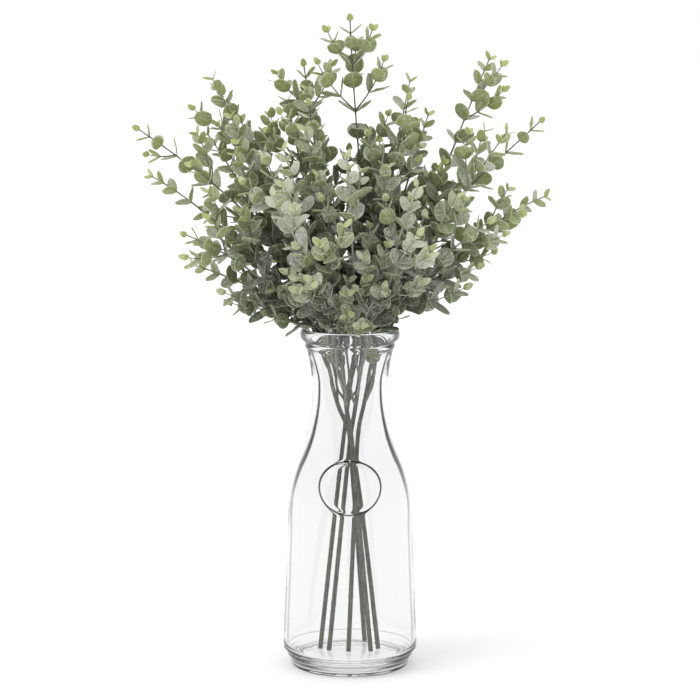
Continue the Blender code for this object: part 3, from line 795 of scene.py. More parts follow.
for x, z, length in NECK_LEAVES:
    for off, _, leaf, sections, middle in neck_leaf_choices(x, z, length):
        tree = plate_tree(sections)
        if room.is_free(tree, middle) and not cuts_glass(sections):
            room.take(tree, middle)
            leaves.append(leaf)
            print("leaf in the neck", round(off, 1), "mm from its place, at depth", round(float(middle[1])))
            break

# %% [markdown]
# Short side twigs with a few small leaves grow out of the axils of the older leaves. They fill the inside of
# the bunch, as they do on the real sprays.

# %% Grow side twigs
TWIG_RADIUS = 0.75
TWIG_TIP_RADIUS = 0.4
TWIG_ANGLE = math.radians(44)
TWIG_TURN_DEG = 24
TWIG_STEP = 1.5
TWIG_SHARE = [(45.0, 0.72), (115.0, 0.19)]
THINNER_RIGHT = [(30.0, 1.0), (80.0, 0.45)]
FIRST_TWIG = 3
TWIG_LENGTHS = (22, 32)
LONGER_PER_PAIR = 3.0
LONGEST_AT_PAIR = 7
TWIG_TRIES = (1.0, 0.75, 0.55)
AXIL_STEP = 0.8
BOX_MARGIN = 7.0
BOX_LOW = np.array(frame_low) / MM + BOX_MARGIN
BOX_HIGH = np.array(frame_high) / MM - BOX_MARGIN
twigs = []


class Twig(Spray):
    """A short side twig that grows from a leaf's axil."""

    def radii(self):
        return [0, lengths(self.line)[-1]], [TWIG_RADIUS, TWIG_TIP_RADIUS]


def twig_line(spray, place, face, size):
    """Curve of a twig that leaves the stem beside a leaf and turns towards the stem's own direction."""
    angle = math.radians(90 * face + extra.uniform(-TWIG_TURN_DEG, TWIG_TURN_DEG))
    centre, way, outward = frame_at(spray, place + AXIL_STEP, angle)
    leave = between(way, outward, TWIG_ANGLE)
    end = centre + size * unit(leave + way * 0.3)
    return even_steps(hermite(centre, end, leave * size, unit(leave + way * 1.3) * size), TWIG_STEP)


def grow_twig(spray, place, face, size):
    """Grow a twig in a leaf's axil, shorter where it doesn't fit, and inside the frame's box."""
    for shorter in TWIG_TRIES:
        line = twig_line(spray, place, face, size * shorter)
        radii = np.linspace(TWIG_RADIUS, TWIG_TIP_RADIUS, len(line)) + LEAF_GAP
        tree = plate_tree(stem_sections(line, radii)[3:])
        middle = line[len(line) // 2]
        if np.all((line[-1] > BOX_LOW) & (line[-1] < BOX_HIGH)) and room.is_free(tree, middle):
            twig = Twig(spray.stem, line, 0, spray, place)
            twig.ways, twig.sides = travelling_sides(line, unit(np.cross(line[1] - line[0], UP)))
            twigs.append(twig)
            room.take(tree, middle)
            return


for spray in sprays:
    for order, place in enumerate(spray.places):
        x, y, z = point_at(spray.line, place)
        if order < FIRST_TWIG or z < MOUTH_HEIGHT + 2:
            continue
        share = read_table(TWIG_SHARE, math.hypot(x, y)) * read_table(THINNER_RIGHT, x)
        for face in pair_faces(order):
            if extra.random() <= share:
                size = extra.uniform(*TWIG_LENGTHS) + LONGER_PER_PAIR * min(order, LONGEST_AT_PAIR)
                grow_twig(spray, place, face, size)
print("twigs:", len(twigs))

# %% Put leaves on the twigs
TWIG_STUB = 1.2
TWIG_BARE = 6.0
TWIG_SPACING = 8.5
TWIG_STEPS = (0.85, 1.1)
TWIG_TIP_LEAF, TWIG_LEAF_GROWTH, TWIG_LARGEST_LEAF = 7.0, 3.0, 15.0
TWIG_LEAF_SIZES = (0.92, 1.12)
TWIG_LIFTS_DEG = (-12, 16)
TWIG_ROLLS_DEG = (-20, 20)

for twig in twigs:
    place, order = lengths(twig.line)[-1] - TWIG_STUB, 0
    while place > TWIG_BARE:
        for face in pair_faces(order):
            size = min(TWIG_TIP_LEAF + TWIG_LEAF_GROWTH * order, TWIG_LARGEST_LEAF)
            size *= extra.uniform(*TWIG_LEAF_SIZES)
            lift = LEAF_LIFT + random_angle(extra, TWIG_LIFTS_DEG)
            fit_leaf(twig, place, face, size, lift, random_angle(extra, TWIG_ROLLS_DEG), order)
        place -= TWIG_SPACING * extra.uniform(*TWIG_STEPS) + order
        order += 1
print("all leaves:", len(leaves))

# %% [markdown]
# A leaf is a thin round blade, a little wider than long at times, cupped towards the stem's tip and finely
# waved at its edge. It is a small grid of points on a round outline. The upper and lower faces are this grid
# moved out along its own normals, thick at the midrib and thin at the edge, so it needs no modifier.

# %% The fine leaf blade
LEAF_ROWS = 9
LEAF_COLUMNS = np.array((-1.0, -0.74, -0.12, 0.0, 0.12, 0.74, 1.0))
ROW_MARGIN = 0.35
BLADE_THICK = 0.55
EDGE_THICK = 0.26
RIB_RAISE = 0.16
YOUNG_SLIM = 0.34
EGG_SHAPE = 0.06
YOUNG_EGG = 0.16
YOUNG_REACH = 2.2
LENGTHENED = 1.04
CUPS, WIDTHS, WAVES = (0.02, 0.15), (0.92, 1.06), (0.004, 0.026)
HALF_WAVES = 3.2
RIB_WIDTH = 0.09
UPPER_RIB = 0.6
FROST_SPREAD = (-0.36, 0.34)
# Reach from the axis or height, and the share of painted shade there, for leaves deep in the bunch.
HEART_REACH, HEART_HEIGHT = [(20.0, 1.0), (80.0, 0.0)], [(325.0, 1.0), (440.0, 0.0)]
LOW_REACH, LOW_HEIGHT = [(70.0, 0.8), (120.0, 0.0)], [(295.0, 1.0), (345.0, 0.0)]
# Height, and how much of that painted shade is kept: little inside the neck.
NECK_LIGHT = [(250.0, 0.2), (264.0, 1.0)]

row_angles = math.pi * (np.arange(LEAF_ROWS) + ROW_MARGIN) / (LEAF_ROWS - 1 + 2 * ROW_MARGIN)
ROW_PLACES = (1 - np.cos(row_angles)) / 2
ROW_PLACES = (ROW_PLACES - ROW_PLACES[0]) / (ROW_PLACES[-1] - ROW_PLACES[0])
ROW_HALVES = np.sin(row_angles)


def leaf_grid_faces():
    """Faces of one leaf: upper grid, lower grid and the strip round the edge."""
    rows, columns = LEAF_ROWS, len(LEAF_COLUMNS)
    below = rows * columns
    faces = []
    for r in range(rows - 1):
        for c in range(columns - 1):
            a, b = r * columns + c, r * columns + c + 1
            d, e = a + columns, b + columns
            faces.append((a, b, e, d))
            faces.append((below + a, below + d, below + e, below + b))
    edge = [c for c in range(columns)] + [r * columns + columns - 1 for r in range(1, rows)]
    edge += [(rows - 1) * columns + c for c in range(columns - 2, -1, -1)]
    edge += [r * columns for r in range(rows - 2, 0, -1)]
    for here, there in zip(edge, edge[1:] + edge[:1]):
        faces.append((here, below + here, below + there, there))
    return faces


LEAF_FACES = leaf_grid_faces()


def painted_shade_in_bunch(place):
    """Share of painted shade at a place deep in the bunch, from 0 outside to 1 at its heart just over the rim.
    """
    reach = math.hypot(place[0], place[1])
    heart = read_table(HEART_REACH, reach) * read_table(HEART_HEIGHT, place[2])
    low = read_table(LOW_REACH, reach) * read_table(LOW_HEIGHT, place[2])
    return float(max(heart, low) * read_table(NECK_LIGHT, place[2]))


def leaf_blade(leaf, look):
    """Points of a fine leaf, with what the material needs to know at each of them."""
    across, run, top = leaf_frame(leaf)
    young = math.exp(-leaf["age"] / YOUNG_REACH)
    length = leaf["length"] * LENGTHENED
    cup, width = look.uniform(*CUPS), look.uniform(*WIDTHS) * (1 - YOUNG_SLIM * young)
    wave, phase = look.uniform(*WAVES), look.uniform(0, math.tau)
    t = ROW_PLACES[:, None]
    turn = leaf["roll"] * np.minimum(1.0, TURN_AT_FOOT + t)
    wide = across * np.cos(turn) + top * np.sin(turn)
    thick = top * np.cos(turn) - across * np.sin(turn)
    egg = 1 + (EGG_SHAPE + YOUNG_EGG * young) * (1 - 2 * ROW_PLACES)
    half = (ROW_HALVES * egg)[:, None] * length * width / 2
    s = LEAF_COLUMNS[None, :]
    middle = leaf["root"] + run * length * t + thick * length * BLADE_BOW * t ** 2
    lifted = cup * half * s ** 2 * 2 + wave * length * np.sin(HALF_WAVES * math.pi * t + phase) * s
    grid = (middle[:, None, :] + wide[:, None, :] * (half * s)[..., None]
            + thick[:, None, :] * lifted[..., None])
    normal = np.cross(np.gradient(grid, axis=1), np.gradient(grid, axis=0))
    normal /= np.linalg.norm(normal, axis=2)[..., None] + 1e-9
    normal *= np.sign((normal * thick[:, None, :]).sum(axis=2, keepdims=True))
    shell = EDGE_THICK + (BLADE_THICK - EDGE_THICK) * (1 - s ** 2) * np.ones_like(t)
    rib = RIB_RAISE * np.exp(-(s / RIB_WIDTH) ** 2) * (1 - t)
    upper = grid + normal * (shell / 2 - rib * UPPER_RIB)[..., None]
    lower = grid - normal * (shell / 2 + rib)[..., None]
    points = np.concatenate((upper.reshape(-1, 3), lower.reshape(-1, 3)))
    blade = np.stack(np.broadcast_arrays(t, s, np.ones_like(t * s)), axis=-1).reshape(-1, 3)
    under = blade * (1, 1, 0)
    # Leaves deep in the bunch get painted shade: less yellow, less bloom and a darker green.
    deep = painted_shade_in_bunch(leaf["root"])
    frosted = float(np.clip(leaf["frost"] + look.uniform(*FROST_SPREAD), 0, 1)) * (1 - 0.8 * deep)
    habit = (young * (1 - 0.85 * deep), frosted, min(1.0, 0.5 * look.random() + deep))
    return points, LEAF_FACES, np.concatenate((blade, under)), np.tile(habit, (len(points), 1))


print("triangles a leaf:", 2 * len(LEAF_FACES))

# %% [markdown]
# A stem is a round tube along its curve, a little swollen where each leaf pair sits and closed by a small bud
# at its tip. A side spray starts inside its stalk, with a flared foot like a real fork.

# %% The fine stem
STALK_SIDES = 14
SPRAY_SIDES = 9
TWIG_SIDES = 6
NODE_SWELL = 0.34
NODE_REACH = 1.3
FINE_STALK = 1.85
FINE_NECK = 1.6
FINE_SPRAY = 0.92
FINE_TIP = 0.45
TAPER_BELOW_MOUTH = 50.0
RING_SPACING = 43.0
RING_SWELL = 0.13
FLARE = 0.5
FLARE_REACH = 4.0
BUD_REACH = 1.8
BUD_CLOSED = 0.02
TWIG_SLIM = 0.9
# Share of a side spray's way up, and its radius there.
SIDE_TAPER = [(0.0, 0.95 * FINE_SPRAY), (0.7, 0.85 * FINE_SPRAY), (1.0, FINE_TIP)]
FIRST_RING, RING_SHIFT, RINGS_BELOW_MOUTH = 20, 6, 30


def fine_radii(spray, along):
    """Radius of the fine stem along its way: stout in the bottle, slim above the rim."""
    total = along[-1]
    if isinstance(spray, Twig):
        return np.interp(along, *spray.radii()) * TWIG_SLIM
    if spray.parent is None:
        mouth = spray.mouth()
        return np.interp(along, [0, mouth - TAPER_BELOW_MOUTH, mouth + 8, total],
                         [FINE_STALK, FINE_NECK, FINE_SPRAY, FINE_TIP])
    return np.interp(along, [share * total for share, _ in SIDE_TAPER], [radius for _, radius in SIDE_TAPER])


def stalk_rings(spray):
    """Lengths up a bare stalk at which its lowest leaves once sat."""
    if spray.parent is not None:
        return []
    return np.arange(FIRST_RING + RING_SHIFT * spray.stem, spray.mouth() - RINGS_BELOW_MOUTH, RING_SPACING)


def swollen(radii, along, places, share):
    """Radii with a small round swelling at each of some places."""
    for place in places:
        radii = radii * (1 + share * np.exp(-((along - place) / NODE_REACH) ** 2))
    return radii


def stem_tube(spray):
    """Points and faces of a stem, with what the material needs to know at each of them."""
    sides = TWIG_SIDES if isinstance(spray, Twig) else SPRAY_SIDES if spray.parent else STALK_SIDES
    along = lengths(spray.line)
    radii = swollen(fine_radii(spray, along), along, getattr(spray, "places", []), NODE_SWELL)
    radii = swollen(radii, along, stalk_rings(spray), RING_SWELL)
    if spray.parent:
        radii = radii * (1 + FLARE * np.exp(-along / FLARE_REACH))
    radii = radii * np.sqrt(np.clip((along[-1] - along) / BUD_REACH, BUD_CLOSED, 1.0))
    angles = math.tau * np.arange(sides) / sides
    across = np.cross(spray.ways, spray.sides)
    ring = (spray.sides[:, None, :] * np.cos(angles)[None, :, None]
            + across[:, None, :] * np.sin(angles)[None, :, None])
    points = (spray.line[:, None, :] + ring * radii[:, None, None]).reshape(-1, 3)
    foot, tip = tuple(range(sides))[::-1], tuple(range(len(points) - sides, len(points)))
    thin = 1.0 if spray.parent else 0.0
    height = np.repeat(along / along[-1], sides)
    blade = np.column_stack((height, np.full(len(points), thin), np.zeros(len(points))))
    habit = np.tile((thin, spray.frost, 0.5), (len(points), 1))
    return points, skin_faces(len(along), sides) + [foot, tip], blade, habit


# %% [markdown]
# Each stem becomes one mesh with two materials, one for its wood and one for its leaves. Two attributes carry
# what the leaf material needs: where a point is on its blade, and how young, how frosted and how dark the leaf
# is. That darkness is partly each leaf's own, at random, and partly painted shade deep in the bunch.

# %% Build the six leafy stems
look = random.Random(SEED + 2)


def mesh_piece(name, points, faces):
    """Object with a smooth-shaded mesh, from points in millimetres."""
    mesh = bpy.data.meshes.new(name)
    mesh.from_pydata([tuple(p) for p in np.asarray(points, float) * MM], [], faces)
    mesh.shade_smooth()
    return add_object(name, mesh)


def write_attribute(piece, name, rows):
    """Keep three values at each point of a piece's mesh."""
    attribute = piece.data.attributes.new(name, "FLOAT_VECTOR", "POINT")
    attribute.data.foreach_set("vector", np.vstack(rows).astype(np.float32).ravel())


def leafy_piece(number, stem, leaf_material, wood_material):
    """Fine leafy stem: stalk, sprays, twigs and leaves in one mesh."""
    parts = [stem_tube(spray) for spray in sprays + twigs if spray.stem == number]
    wood_faces = sum(len(part[1]) for part in parts)
    parts += [leaf_blade(leaf, look) for leaf in leaves if leaf["stem"] == number]
    points, own_faces, blades, habits = zip(*parts)
    faces, count = [], 0
    for own_points, shell in zip(points, own_faces):
        faces += [[k + count for k in face] for face in shell]
        count += len(own_points)
    piece = mesh_piece(stem["name"] + "_fine", np.vstack(points), faces)
    piece.data.materials.append(wood_material)
    piece.data.materials.append(leaf_material)
    piece.data.polygons.foreach_set("material_index", [0] * wood_faces + [1] * (len(faces) - wood_faces))
    write_attribute(piece, "blade", blades)
    write_attribute(piece, "habit", habits)
    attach(piece, "root")
    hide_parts(stem["name"])
    return piece


# %% [markdown]
# Materials are node trees. These helpers keep the code that builds them short. The first two add a node and
# fill its inputs, and the others make the few kinds of node that the materials here need.

# %% Node helpers


def connect(tree, node, name, value):
    """Fill or link one input. A name like in_1 stands for input number 1."""
    socket = node.inputs[int(name[3:])] if name.startswith("in_") else node.inputs[name.replace("_", " ")]
    if isinstance(value, bpy.types.NodeSocket):
        tree.links.new(value, socket)
    else:
        socket.default_value = value


def add_node(tree, kind, settings=None, **inputs):
    """Add a node, set its properties, and fill or link its inputs by name or number."""
    node = tree.nodes.new(kind)
    for name, value in (settings or {}).items():
        setattr(node, name, value)
    for name, value in inputs.items():
        connect(tree, node, name, value)
    return node


def mix_colour(tree, amount, first, second):
    """Blend of two colours."""
    node = add_node(tree, "ShaderNodeMix", {"data_type": "RGBA"}, in_0=amount, in_6=first, in_7=second)
    return node.outputs[2]


def maths(tree, operation, first, second=0.0, clamp=True):
    """Result of a sum on one or two values, kept between 0 and 1 unless told otherwise."""
    settings = {"operation": operation, "use_clamp": clamp}
    return add_node(tree, "ShaderNodeMath", settings, in_0=first, in_1=second).outputs[0]


def times(tree, first, *others):
    """Product of some values between 0 and 1."""
    for other in others:
        first = maths(tree, "MULTIPLY", first, other)
    return first


def ramp(tree, value, start=0.0, end=1.0, low=0.0, high=1.0, kind="LINEAR"):
    """Run of a value from start to end, drawn from low to high and held beyond."""
    return add_node(tree, "ShaderNodeMapRange", {"interpolation_type": kind}, Value=value,
                    From_Min=start, From_Max=end, To_Min=low, To_Max=high).outputs[0]


def soft_step(tree, value, start, end):
    """0 before a start, 1 past an end, and a smooth rise between them."""
    return ramp(tree, value, start, end, kind="SMOOTHSTEP")


def noise(tree, place, scale, detail, roughness=0.5):
    """Cloudy value between 0 and 1."""
    return add_node(tree, "ShaderNodeTexNoise", Vector=place, Scale=scale, Detail=detail,
                    Roughness=roughness).outputs["Fac"]


def position(tree):
    """Where a point of the surface is."""
    return add_node(tree, "ShaderNodeNewGeometry").outputs["Position"]


def kept_values(tree, name):
    """The three values that the mesh keeps at each point under a name."""
    kept = add_node(tree, "ShaderNodeAttribute", {"attribute_name": name}).outputs["Vector"]
    return add_node(tree, "ShaderNodeSeparateXYZ", Vector=kept).outputs


def from_group(tree, group, **inputs):
    """The value that a shared group gives here."""
    return add_node(tree, "ShaderNodeGroup", {"node_tree": group}, **inputs).outputs[0]


def new_group(name, numbers, result):
    """Shader node group that takes a place and some named numbers and gives one value."""
    group = bpy.data.node_groups.new(name, "ShaderNodeTree")
    group.interface.new_socket("Place", in_out="INPUT", socket_type="NodeSocketVector")
    for label, start in numbers.items():
        socket = group.interface.new_socket(label, in_out="INPUT", socket_type="NodeSocketFloat")
        socket.default_value = start
    group.interface.new_socket(result, in_out="OUTPUT", socket_type="NodeSocketFloat")
    return group, group.nodes.new("NodeGroupInput").outputs, group.nodes.new("NodeGroupOutput")


def new_material(name, **values):
    """Material with its Principled BSDF, whose plain values are set."""
    material = bpy.data.materials.new(name)
    material.use_nodes = True
    shader = material.node_tree.nodes["Principled BSDF"]
    for label, value in values.items():
        connect(material.node_tree, shader, label, value)
    return material, material.node_tree, shader


def dress(tree, shader, colour, height, strength, distance):
    """Link a colour and a bump, read from a height, to the shader."""
    connect(tree, shader, "Base_Color", colour)
    bump = add_node(tree, "ShaderNodeBump", Height=height, Strength=strength, Distance=distance)
    connect(tree, shader, "Normal", bump.outputs["Normal"])


# %% [markdown]
# Eucalyptus is covered with a white waxy bloom. It lies in fine cloudy patches, is rubbed off in places and
# gathers along edges. Leaves and twigs share it, so it is a group: it takes a place, a scale and an amount,
# and gives a mask.

# %% Shared effect: waxy bloom


def waxy_bloom_group():
    """Cloudy mask of white bloom."""
    group, given, result = new_group("waxy_bloom", {"Scale": 300.0, "Amount": 0.5, "Contrast": 2.0}, "Mask")
    cloud = noise(group, given["Place"], given["Scale"], detail=5.0, roughness=0.68)
    cloud = maths(group, "SUBTRACT", cloud, 0.5, clamp=False)
    cloud = maths(group, "MULTIPLY", cloud, given["Contrast"], clamp=False)
    connect(group, result, "Mask", maths(group, "ADD", cloud, given["Amount"]))
    return group


BLOOM = waxy_bloom_group()

# %% [markdown]
# A fine grain breaks up every matt surface here. It is a second group that gives a height for a Bump node.

# %% Shared effect: fine grain


def fine_grain_group():
    """Small uneven height."""
    group, given, result = new_group("fine_grain", {"Scale": 900.0}, "Height")
    connect(group, result, "Height", noise(group, given["Place"], given["Scale"], detail=3.0, roughness=0.6))
    return group


GRAIN = fine_grain_group()

# %% [markdown]
# A leaf's two faces differ. The upper face, turned to the stem's tip, carries most of the bloom and looks
# pale grey-green. The underside is a plainer olive green. Both have a thin pale rim and a faint pale midrib,
# and young leaves are yellow-green with little bloom. Each leaf is a little darker or lighter at random. Deep
# in the bunch the leaves get painted shade: a darker green, less bloom and fainter rims.

# %% The leaf material
UNDER_GREEN = (0.215, 0.256, 0.078, 1)
UPPER_GREEN = (0.180, 0.225, 0.098, 1)
YOUNG_GREEN = (0.430, 0.490, 0.170, 1)
# Dark green for leaves that are darker of their own and for painted shade deep in the bunch.
DARK_GREEN_AND_SHADE = (0.056, 0.082, 0.030, 1)
BLOOM_WHITE = (0.715, 0.720, 0.690, 1)
RIM_PALE = (0.700, 0.730, 0.560, 1)
LEAF_BLOOM_SCALE = 560.0
LEAF_GRAIN_SCALE = 1100.0
PATCH_SCALE = 90.0
RIM_SIDE, RIM_TIP = (0.84, 0.97), (0.93, 1.0)
RIB_EDGE = 0.09
YOUNG_SHARE, RIB_SHARE = 0.9, 0.4


def leaf_material():
    """Matt eucalyptus leaf with bloom, rim, midrib, age, its own darkness and painted shade deep in the bunch.
    """
    material, tree, shader = new_material("eucalyptus_leaf", Sheen_Weight=0.12, Sheen_Roughness=0.45)
    along, across, upper = kept_values(tree, "blade")
    young, frost, tone_and_shade = kept_values(tree, "habit")
    place = position(tree)
    side = maths(tree, "ABSOLUTE", across)
    rim = maths(tree, "MAXIMUM", soft_step(tree, side, *RIM_SIDE), soft_step(tree, along, *RIM_TIP))
    rib = soft_step(tree, side, RIB_EDGE, 0.0)

    green = mix_colour(tree, upper, UNDER_GREEN, UPPER_GREEN)
    patch = ramp(tree, noise(tree, place, PATCH_SCALE, detail=2.0), low=0.5, high=1.4)
    # Darker green by each leaf's own darkness at random, and by painted shade deep in the bunch.
    green = mix_colour(tree, times(tree, patch, tone_and_shade), green, DARK_GREEN_AND_SHADE)
    green = mix_colour(tree, times(tree, young, YOUNG_SHARE), green, YOUNG_GREEN)

    amount = times(tree, ramp(tree, upper, low=0.22, high=0.92), frost)
    cloudy = from_group(tree, BLOOM, Place=place, Scale=LEAF_BLOOM_SCALE, Amount=amount, Contrast=3.4)
    bloom = times(tree, cloudy, ramp(tree, young, low=1.0, high=0.4))
    colour = mix_colour(tree, bloom, green, BLOOM_WHITE)
    colour = mix_colour(tree, times(tree, rib, RIB_SHARE), colour, RIM_PALE)
    # Pale rims fade on dark leaves, and so also under the painted shade deep in the bunch.
    pale = ramp(tree, tone_and_shade, low=0.72, high=0.28)
    colour = mix_colour(tree, times(tree, rim, pale), colour, RIM_PALE)

    connect(tree, shader, "Roughness", ramp(tree, bloom, low=0.5, high=0.82))
    grain = from_group(tree, GRAIN, Place=place, Scale=LEAF_GRAIN_SCALE)
    dress(tree, shader, colour, grain, strength=0.18, distance=0.0004)
    return material


# %% [markdown]
# The cut stalks are a dull grey-olive with fine lengthwise streaks. Young sprays are greener, and the bloom
# lies on them as on the leaves.

# %% The stem material
STALK_OLIVE = (0.185, 0.180, 0.125, 1)
STALK_DARK = (0.022, 0.022, 0.014, 1)
SPRAY_GREEN = (0.120, 0.125, 0.075, 1)
STEM_BLOOM = (0.50, 0.53, 0.45, 1)
STREAK_SCALE = 1100.0
STREAK_STRETCH = (1.0, 1.0, 0.06)
STEM_BLOOM_SCALE = 500.0
STEM_GRAIN_SCALE = 1600.0
STREAK_EDGES = (0.34, 0.66)
LEAST_GREEN = 0.1
BARE_FROST = 0.15


def stem_material():
    """Streaked grey-olive stalk with a thin bloom on the young sprays."""
    material, tree, shader = new_material("eucalyptus_stem", Roughness=0.62)
    height, thin, _ = kept_values(tree, "blade")
    _, frost, _ = kept_values(tree, "habit")
    place = position(tree)
    drawn = add_node(tree, "ShaderNodeMapping", Vector=place, Scale=STREAK_STRETCH).outputs[0]
    streak = ramp(tree, noise(tree, drawn, STREAK_SCALE, detail=4.0), *STREAK_EDGES)
    green = times(tree, thin, maths(tree, "ADD", height, LEAST_GREEN))
    colour = mix_colour(tree, green, mix_colour(tree, streak, STALK_DARK, STALK_OLIVE), SPRAY_GREEN)
    amount = times(tree, thin, maths(tree, "SUBTRACT", frost, BARE_FROST))
    cloudy = from_group(tree, BLOOM, Place=place, Scale=STEM_BLOOM_SCALE, Amount=amount, Contrast=1.6)
    colour = mix_colour(tree, cloudy, colour, STEM_BLOOM)
    grain = from_group(tree, GRAIN, Place=drawn, Scale=STEM_GRAIN_SCALE)
    dress(tree, shader, colour, grain, strength=0.4, distance=0.0004)
    return material


# %% [markdown]
# Not every spray is equally frosted. The ones in front of the bunch carry the most bloom in the photograph,
# so a spray's share follows how far forward it leans, with some chance, and that of seven sprays is listed.

# %% Dress the six stems
# Share of bloom by stem number and by the spray's order on its stem.
FROSTED_SPRAYS = {(2, 2): 0.95, (2, 3): 0.85, (3, 3): 0.9, (3, 2): 0.8, (2, 1): 0.25, (3, 0): 0.45,
                  (2, 5): 0.35}
FROST_STARTS, FROST_REACH = 20, 90
LEAST_FROST, FRONT_FROST = 0.28, 0.35
FROST_CHANCE = (-0.15, 0.25)

counted = {}
for spray in sprays:
    forward = np.clip((FROST_STARTS - spray.line[-1][1]) / FROST_REACH, 0, 1)
    spray.frost = LEAST_FROST + FRONT_FROST * forward + look.uniform(*FROST_CHANCE)
    if spray.parent:
        order = counted.get(spray.stem, 0)
        counted[spray.stem] = order + 1
        spray.frost = FROSTED_SPRAYS.get((spray.stem, order), spray.frost)
for twig in twigs:
    twig.frost = twig.parent.frost
for leaf in leaves:
    nearest = min((s for s in sprays if s.stem == leaf["stem"]),
                  key=lambda s: np.abs(s.line - leaf["root"]).sum(axis=1).min())
    leaf["frost"] = nearest.frost

leaf_finish, stem_finish = leaf_material(), stem_material()
for number, stem in enumerate(STEMS):
    piece = leafy_piece(number, stem, leaf_finish, stem_finish)
    print(piece.name, "faces:", len(piece.data.polygons))

# %% [markdown]
# The glass is turned as one closed skin: underside, heel, body, the two beads of the lip, then down the
# inside to the thick floor. The columns are fine only at the front, where the raised oval is, and the oval is
# a smooth swelling of the same skin, so light bends through it as through moulded glass. The real bottle has
# a mark inside the oval. It is left bare.

# %% Turn the bottle
OVAL_HEIGHT = 145.6
OVAL_HALF_WIDTH = 22.0
OVAL_HALF_HEIGHT = 18.8
OVAL_RAISE = 1.2
OVAL_LINE = 1.35
OVAL_MARGIN = 3.5
FINE_STEP = 0.45
NECK_HOLLOW = [(33.6, 256.0), (31.3, 250.0), (28.9, 243.0), (26.8, 236.0), (25.1, 229.0)]
LOW_HOLLOW = [(48.1, 34.0), (48.6, 18.8)]
HEEL_LOW, HEEL_HIGH = 3.3, 17.0
RIDGE_HEIGHT = 0.22
RIDGE_SPACING = 4.4
FRONT_DEG = -90
FRONT_HALF_DEG = 36
PLAIN_COLUMNS = 96


def arc(bead, first_deg, last_deg, steps):
    """Points on an oval bead (radius and height of its centre, half width, half height)."""
    radius, height, half_wide, half_high = bead
    angles = np.radians(np.linspace(first_deg, last_deg, steps))
    return [(radius + half_wide * math.cos(a), height + half_high * math.sin(a)) for a in angles]


def refine(outline, low, high, step):
    """Add points between two heights so that the outline is never coarser than a step there."""
    fine = [outline[0]]
    for (r0, z0), (r1, z1) in zip(outline, outline[1:]):
        count = max(1, math.ceil(abs(z1 - z0) / step)) if low < (z0 + z1) / 2 < high else 1
        fine += [(r0 + (r1 - r0) * k / count, z0 + (z1 - z0) * k / count) for k in range(1, count + 1)]
    return fine


def heel_ridge(height):
    """Soft rounds that run about the heel, one above the other."""
    if not HEEL_LOW < height < HEEL_HIGH:
        return 0.0
    fade = math.sin(math.pi * (height - HEEL_LOW) / (HEEL_HIGH - HEEL_LOW))
    return RIDGE_HEIGHT * fade * math.sin(math.tau * (height - HEEL_LOW) / RIDGE_SPACING)


def glass_outline():
    """Outer outline from the underside to the lip, and inner outline from the lip to the floor."""
    body = [tuple(p) for p in smooth_line(HEEL_OUTLINE[:-1] + BODY_OUTLINE + NECK_TOP, 5)]
    outer = FOOT_OUTLINE + body + arc(SMALL_BEAD, -48, 55, 9) + arc(LIP_BEAD, -68, 90, 18)
    outer = refine(outer, OVAL_HEIGHT - OVAL_HALF_HEIGHT - OVAL_MARGIN,
                   OVAL_HEIGHT + OVAL_HALF_HEIGHT + OVAL_MARGIN, FINE_STEP)
    outer = [(r + heel_ridge(z), z) for r, z in refine(outer, HEEL_LOW, HEEL_HIGH, RIDGE_SPACING / 8)]
    wall = [tuple(p) for p in smooth_line(NECK_HOLLOW + body_inside(50, 225) + LOW_HOLLOW, 5)]
    inner = arc(LIP_BEAD, 110, 150, 4) + wall + floor_fillet(LOW_HOLLOW[-1][0], 6)
    return outer, inner + [(28.0, FLOOR_HEIGHT), (14.0, FLOOR_HEIGHT)]


def column_angles():
    """Angles of the columns round the bottle, close together at the front."""
    fine = math.degrees(FINE_STEP / BODY_OUTLINE[3][0])
    count = round(2 * FRONT_HALF_DEG / fine)
    front = np.linspace(FRONT_DEG - FRONT_HALF_DEG, FRONT_DEG + FRONT_HALF_DEG, count)
    rest = np.linspace(FRONT_DEG + FRONT_HALF_DEG, FRONT_DEG - FRONT_HALF_DEG + 360, PLAIN_COLUMNS)[1:-1]
    return np.radians(np.concatenate((front, rest)))


def oval_swelling(radius, angles, height):
    """How far the skin stands out at a height, for each column."""
    x = radius * np.cos(angles)
    in_front = np.sin(angles) < 0
    u, w = x / OVAL_HALF_WIDTH, (height - OVAL_HEIGHT) / OVAL_HALF_HEIGHT
    reach = np.hypot(u, w) + 1e-9
    slope = np.hypot(u / OVAL_HALF_WIDTH, w / OVAL_HALF_HEIGHT) / reach + 1e-9
    distance = (reach - 1) / slope
    return np.where(in_front, OVAL_RAISE * np.exp(-(distance / OVAL_LINE) ** 2), 0.0)


# Height, how dark and how wide the painted dark line is that stands for the edge of the hollow, and how far
# out it lies.
HOLLOW_LINE = [(20.0, 0.38, 0.08, 0.0), (105.0, 0.38, 0.08, 0.0), (134.0, 0.62, 0.12, 1.0),
               (149.0, 0.92, 0.20, 1.9), (158.0, 0.95, 0.22, 2.0), (181.0, 1.0, 0.14, 0.3),
               (200.0, 1.0, 0.10, -0.1), (226.0, 1.0, 0.07, -0.7), (246.0, 1.0, 0.06, -0.7)]
# Height, how early the painted shade on the moulded parts starts as they turn away, and how dark it gets.
OUTER_SHADE = [(0.0, 1.7, 0.30), (1.5, 1.7, 1.00), (3.3, 1.7, 0.30), (5.5, 1.9, 1.00), (7.7, 1.9, 0.30),
               (9.9, 1.9, 1.00), (12.1, 1.9, 0.30), (14.0, 1.8, 1.00), (16.5, 1.3, 0.20), (19.0, 0.9, 0.05),
               (240.0, 0.9, 0.05), (247.0, 1.3, 0.97)]
# How early the painted shade on the raised oval starts, and how dark it gets.
OVAL_SHADE = (4.6, 0.97)
LOOK_DOWN = math.radians(CAMERA_DIP_DEG)


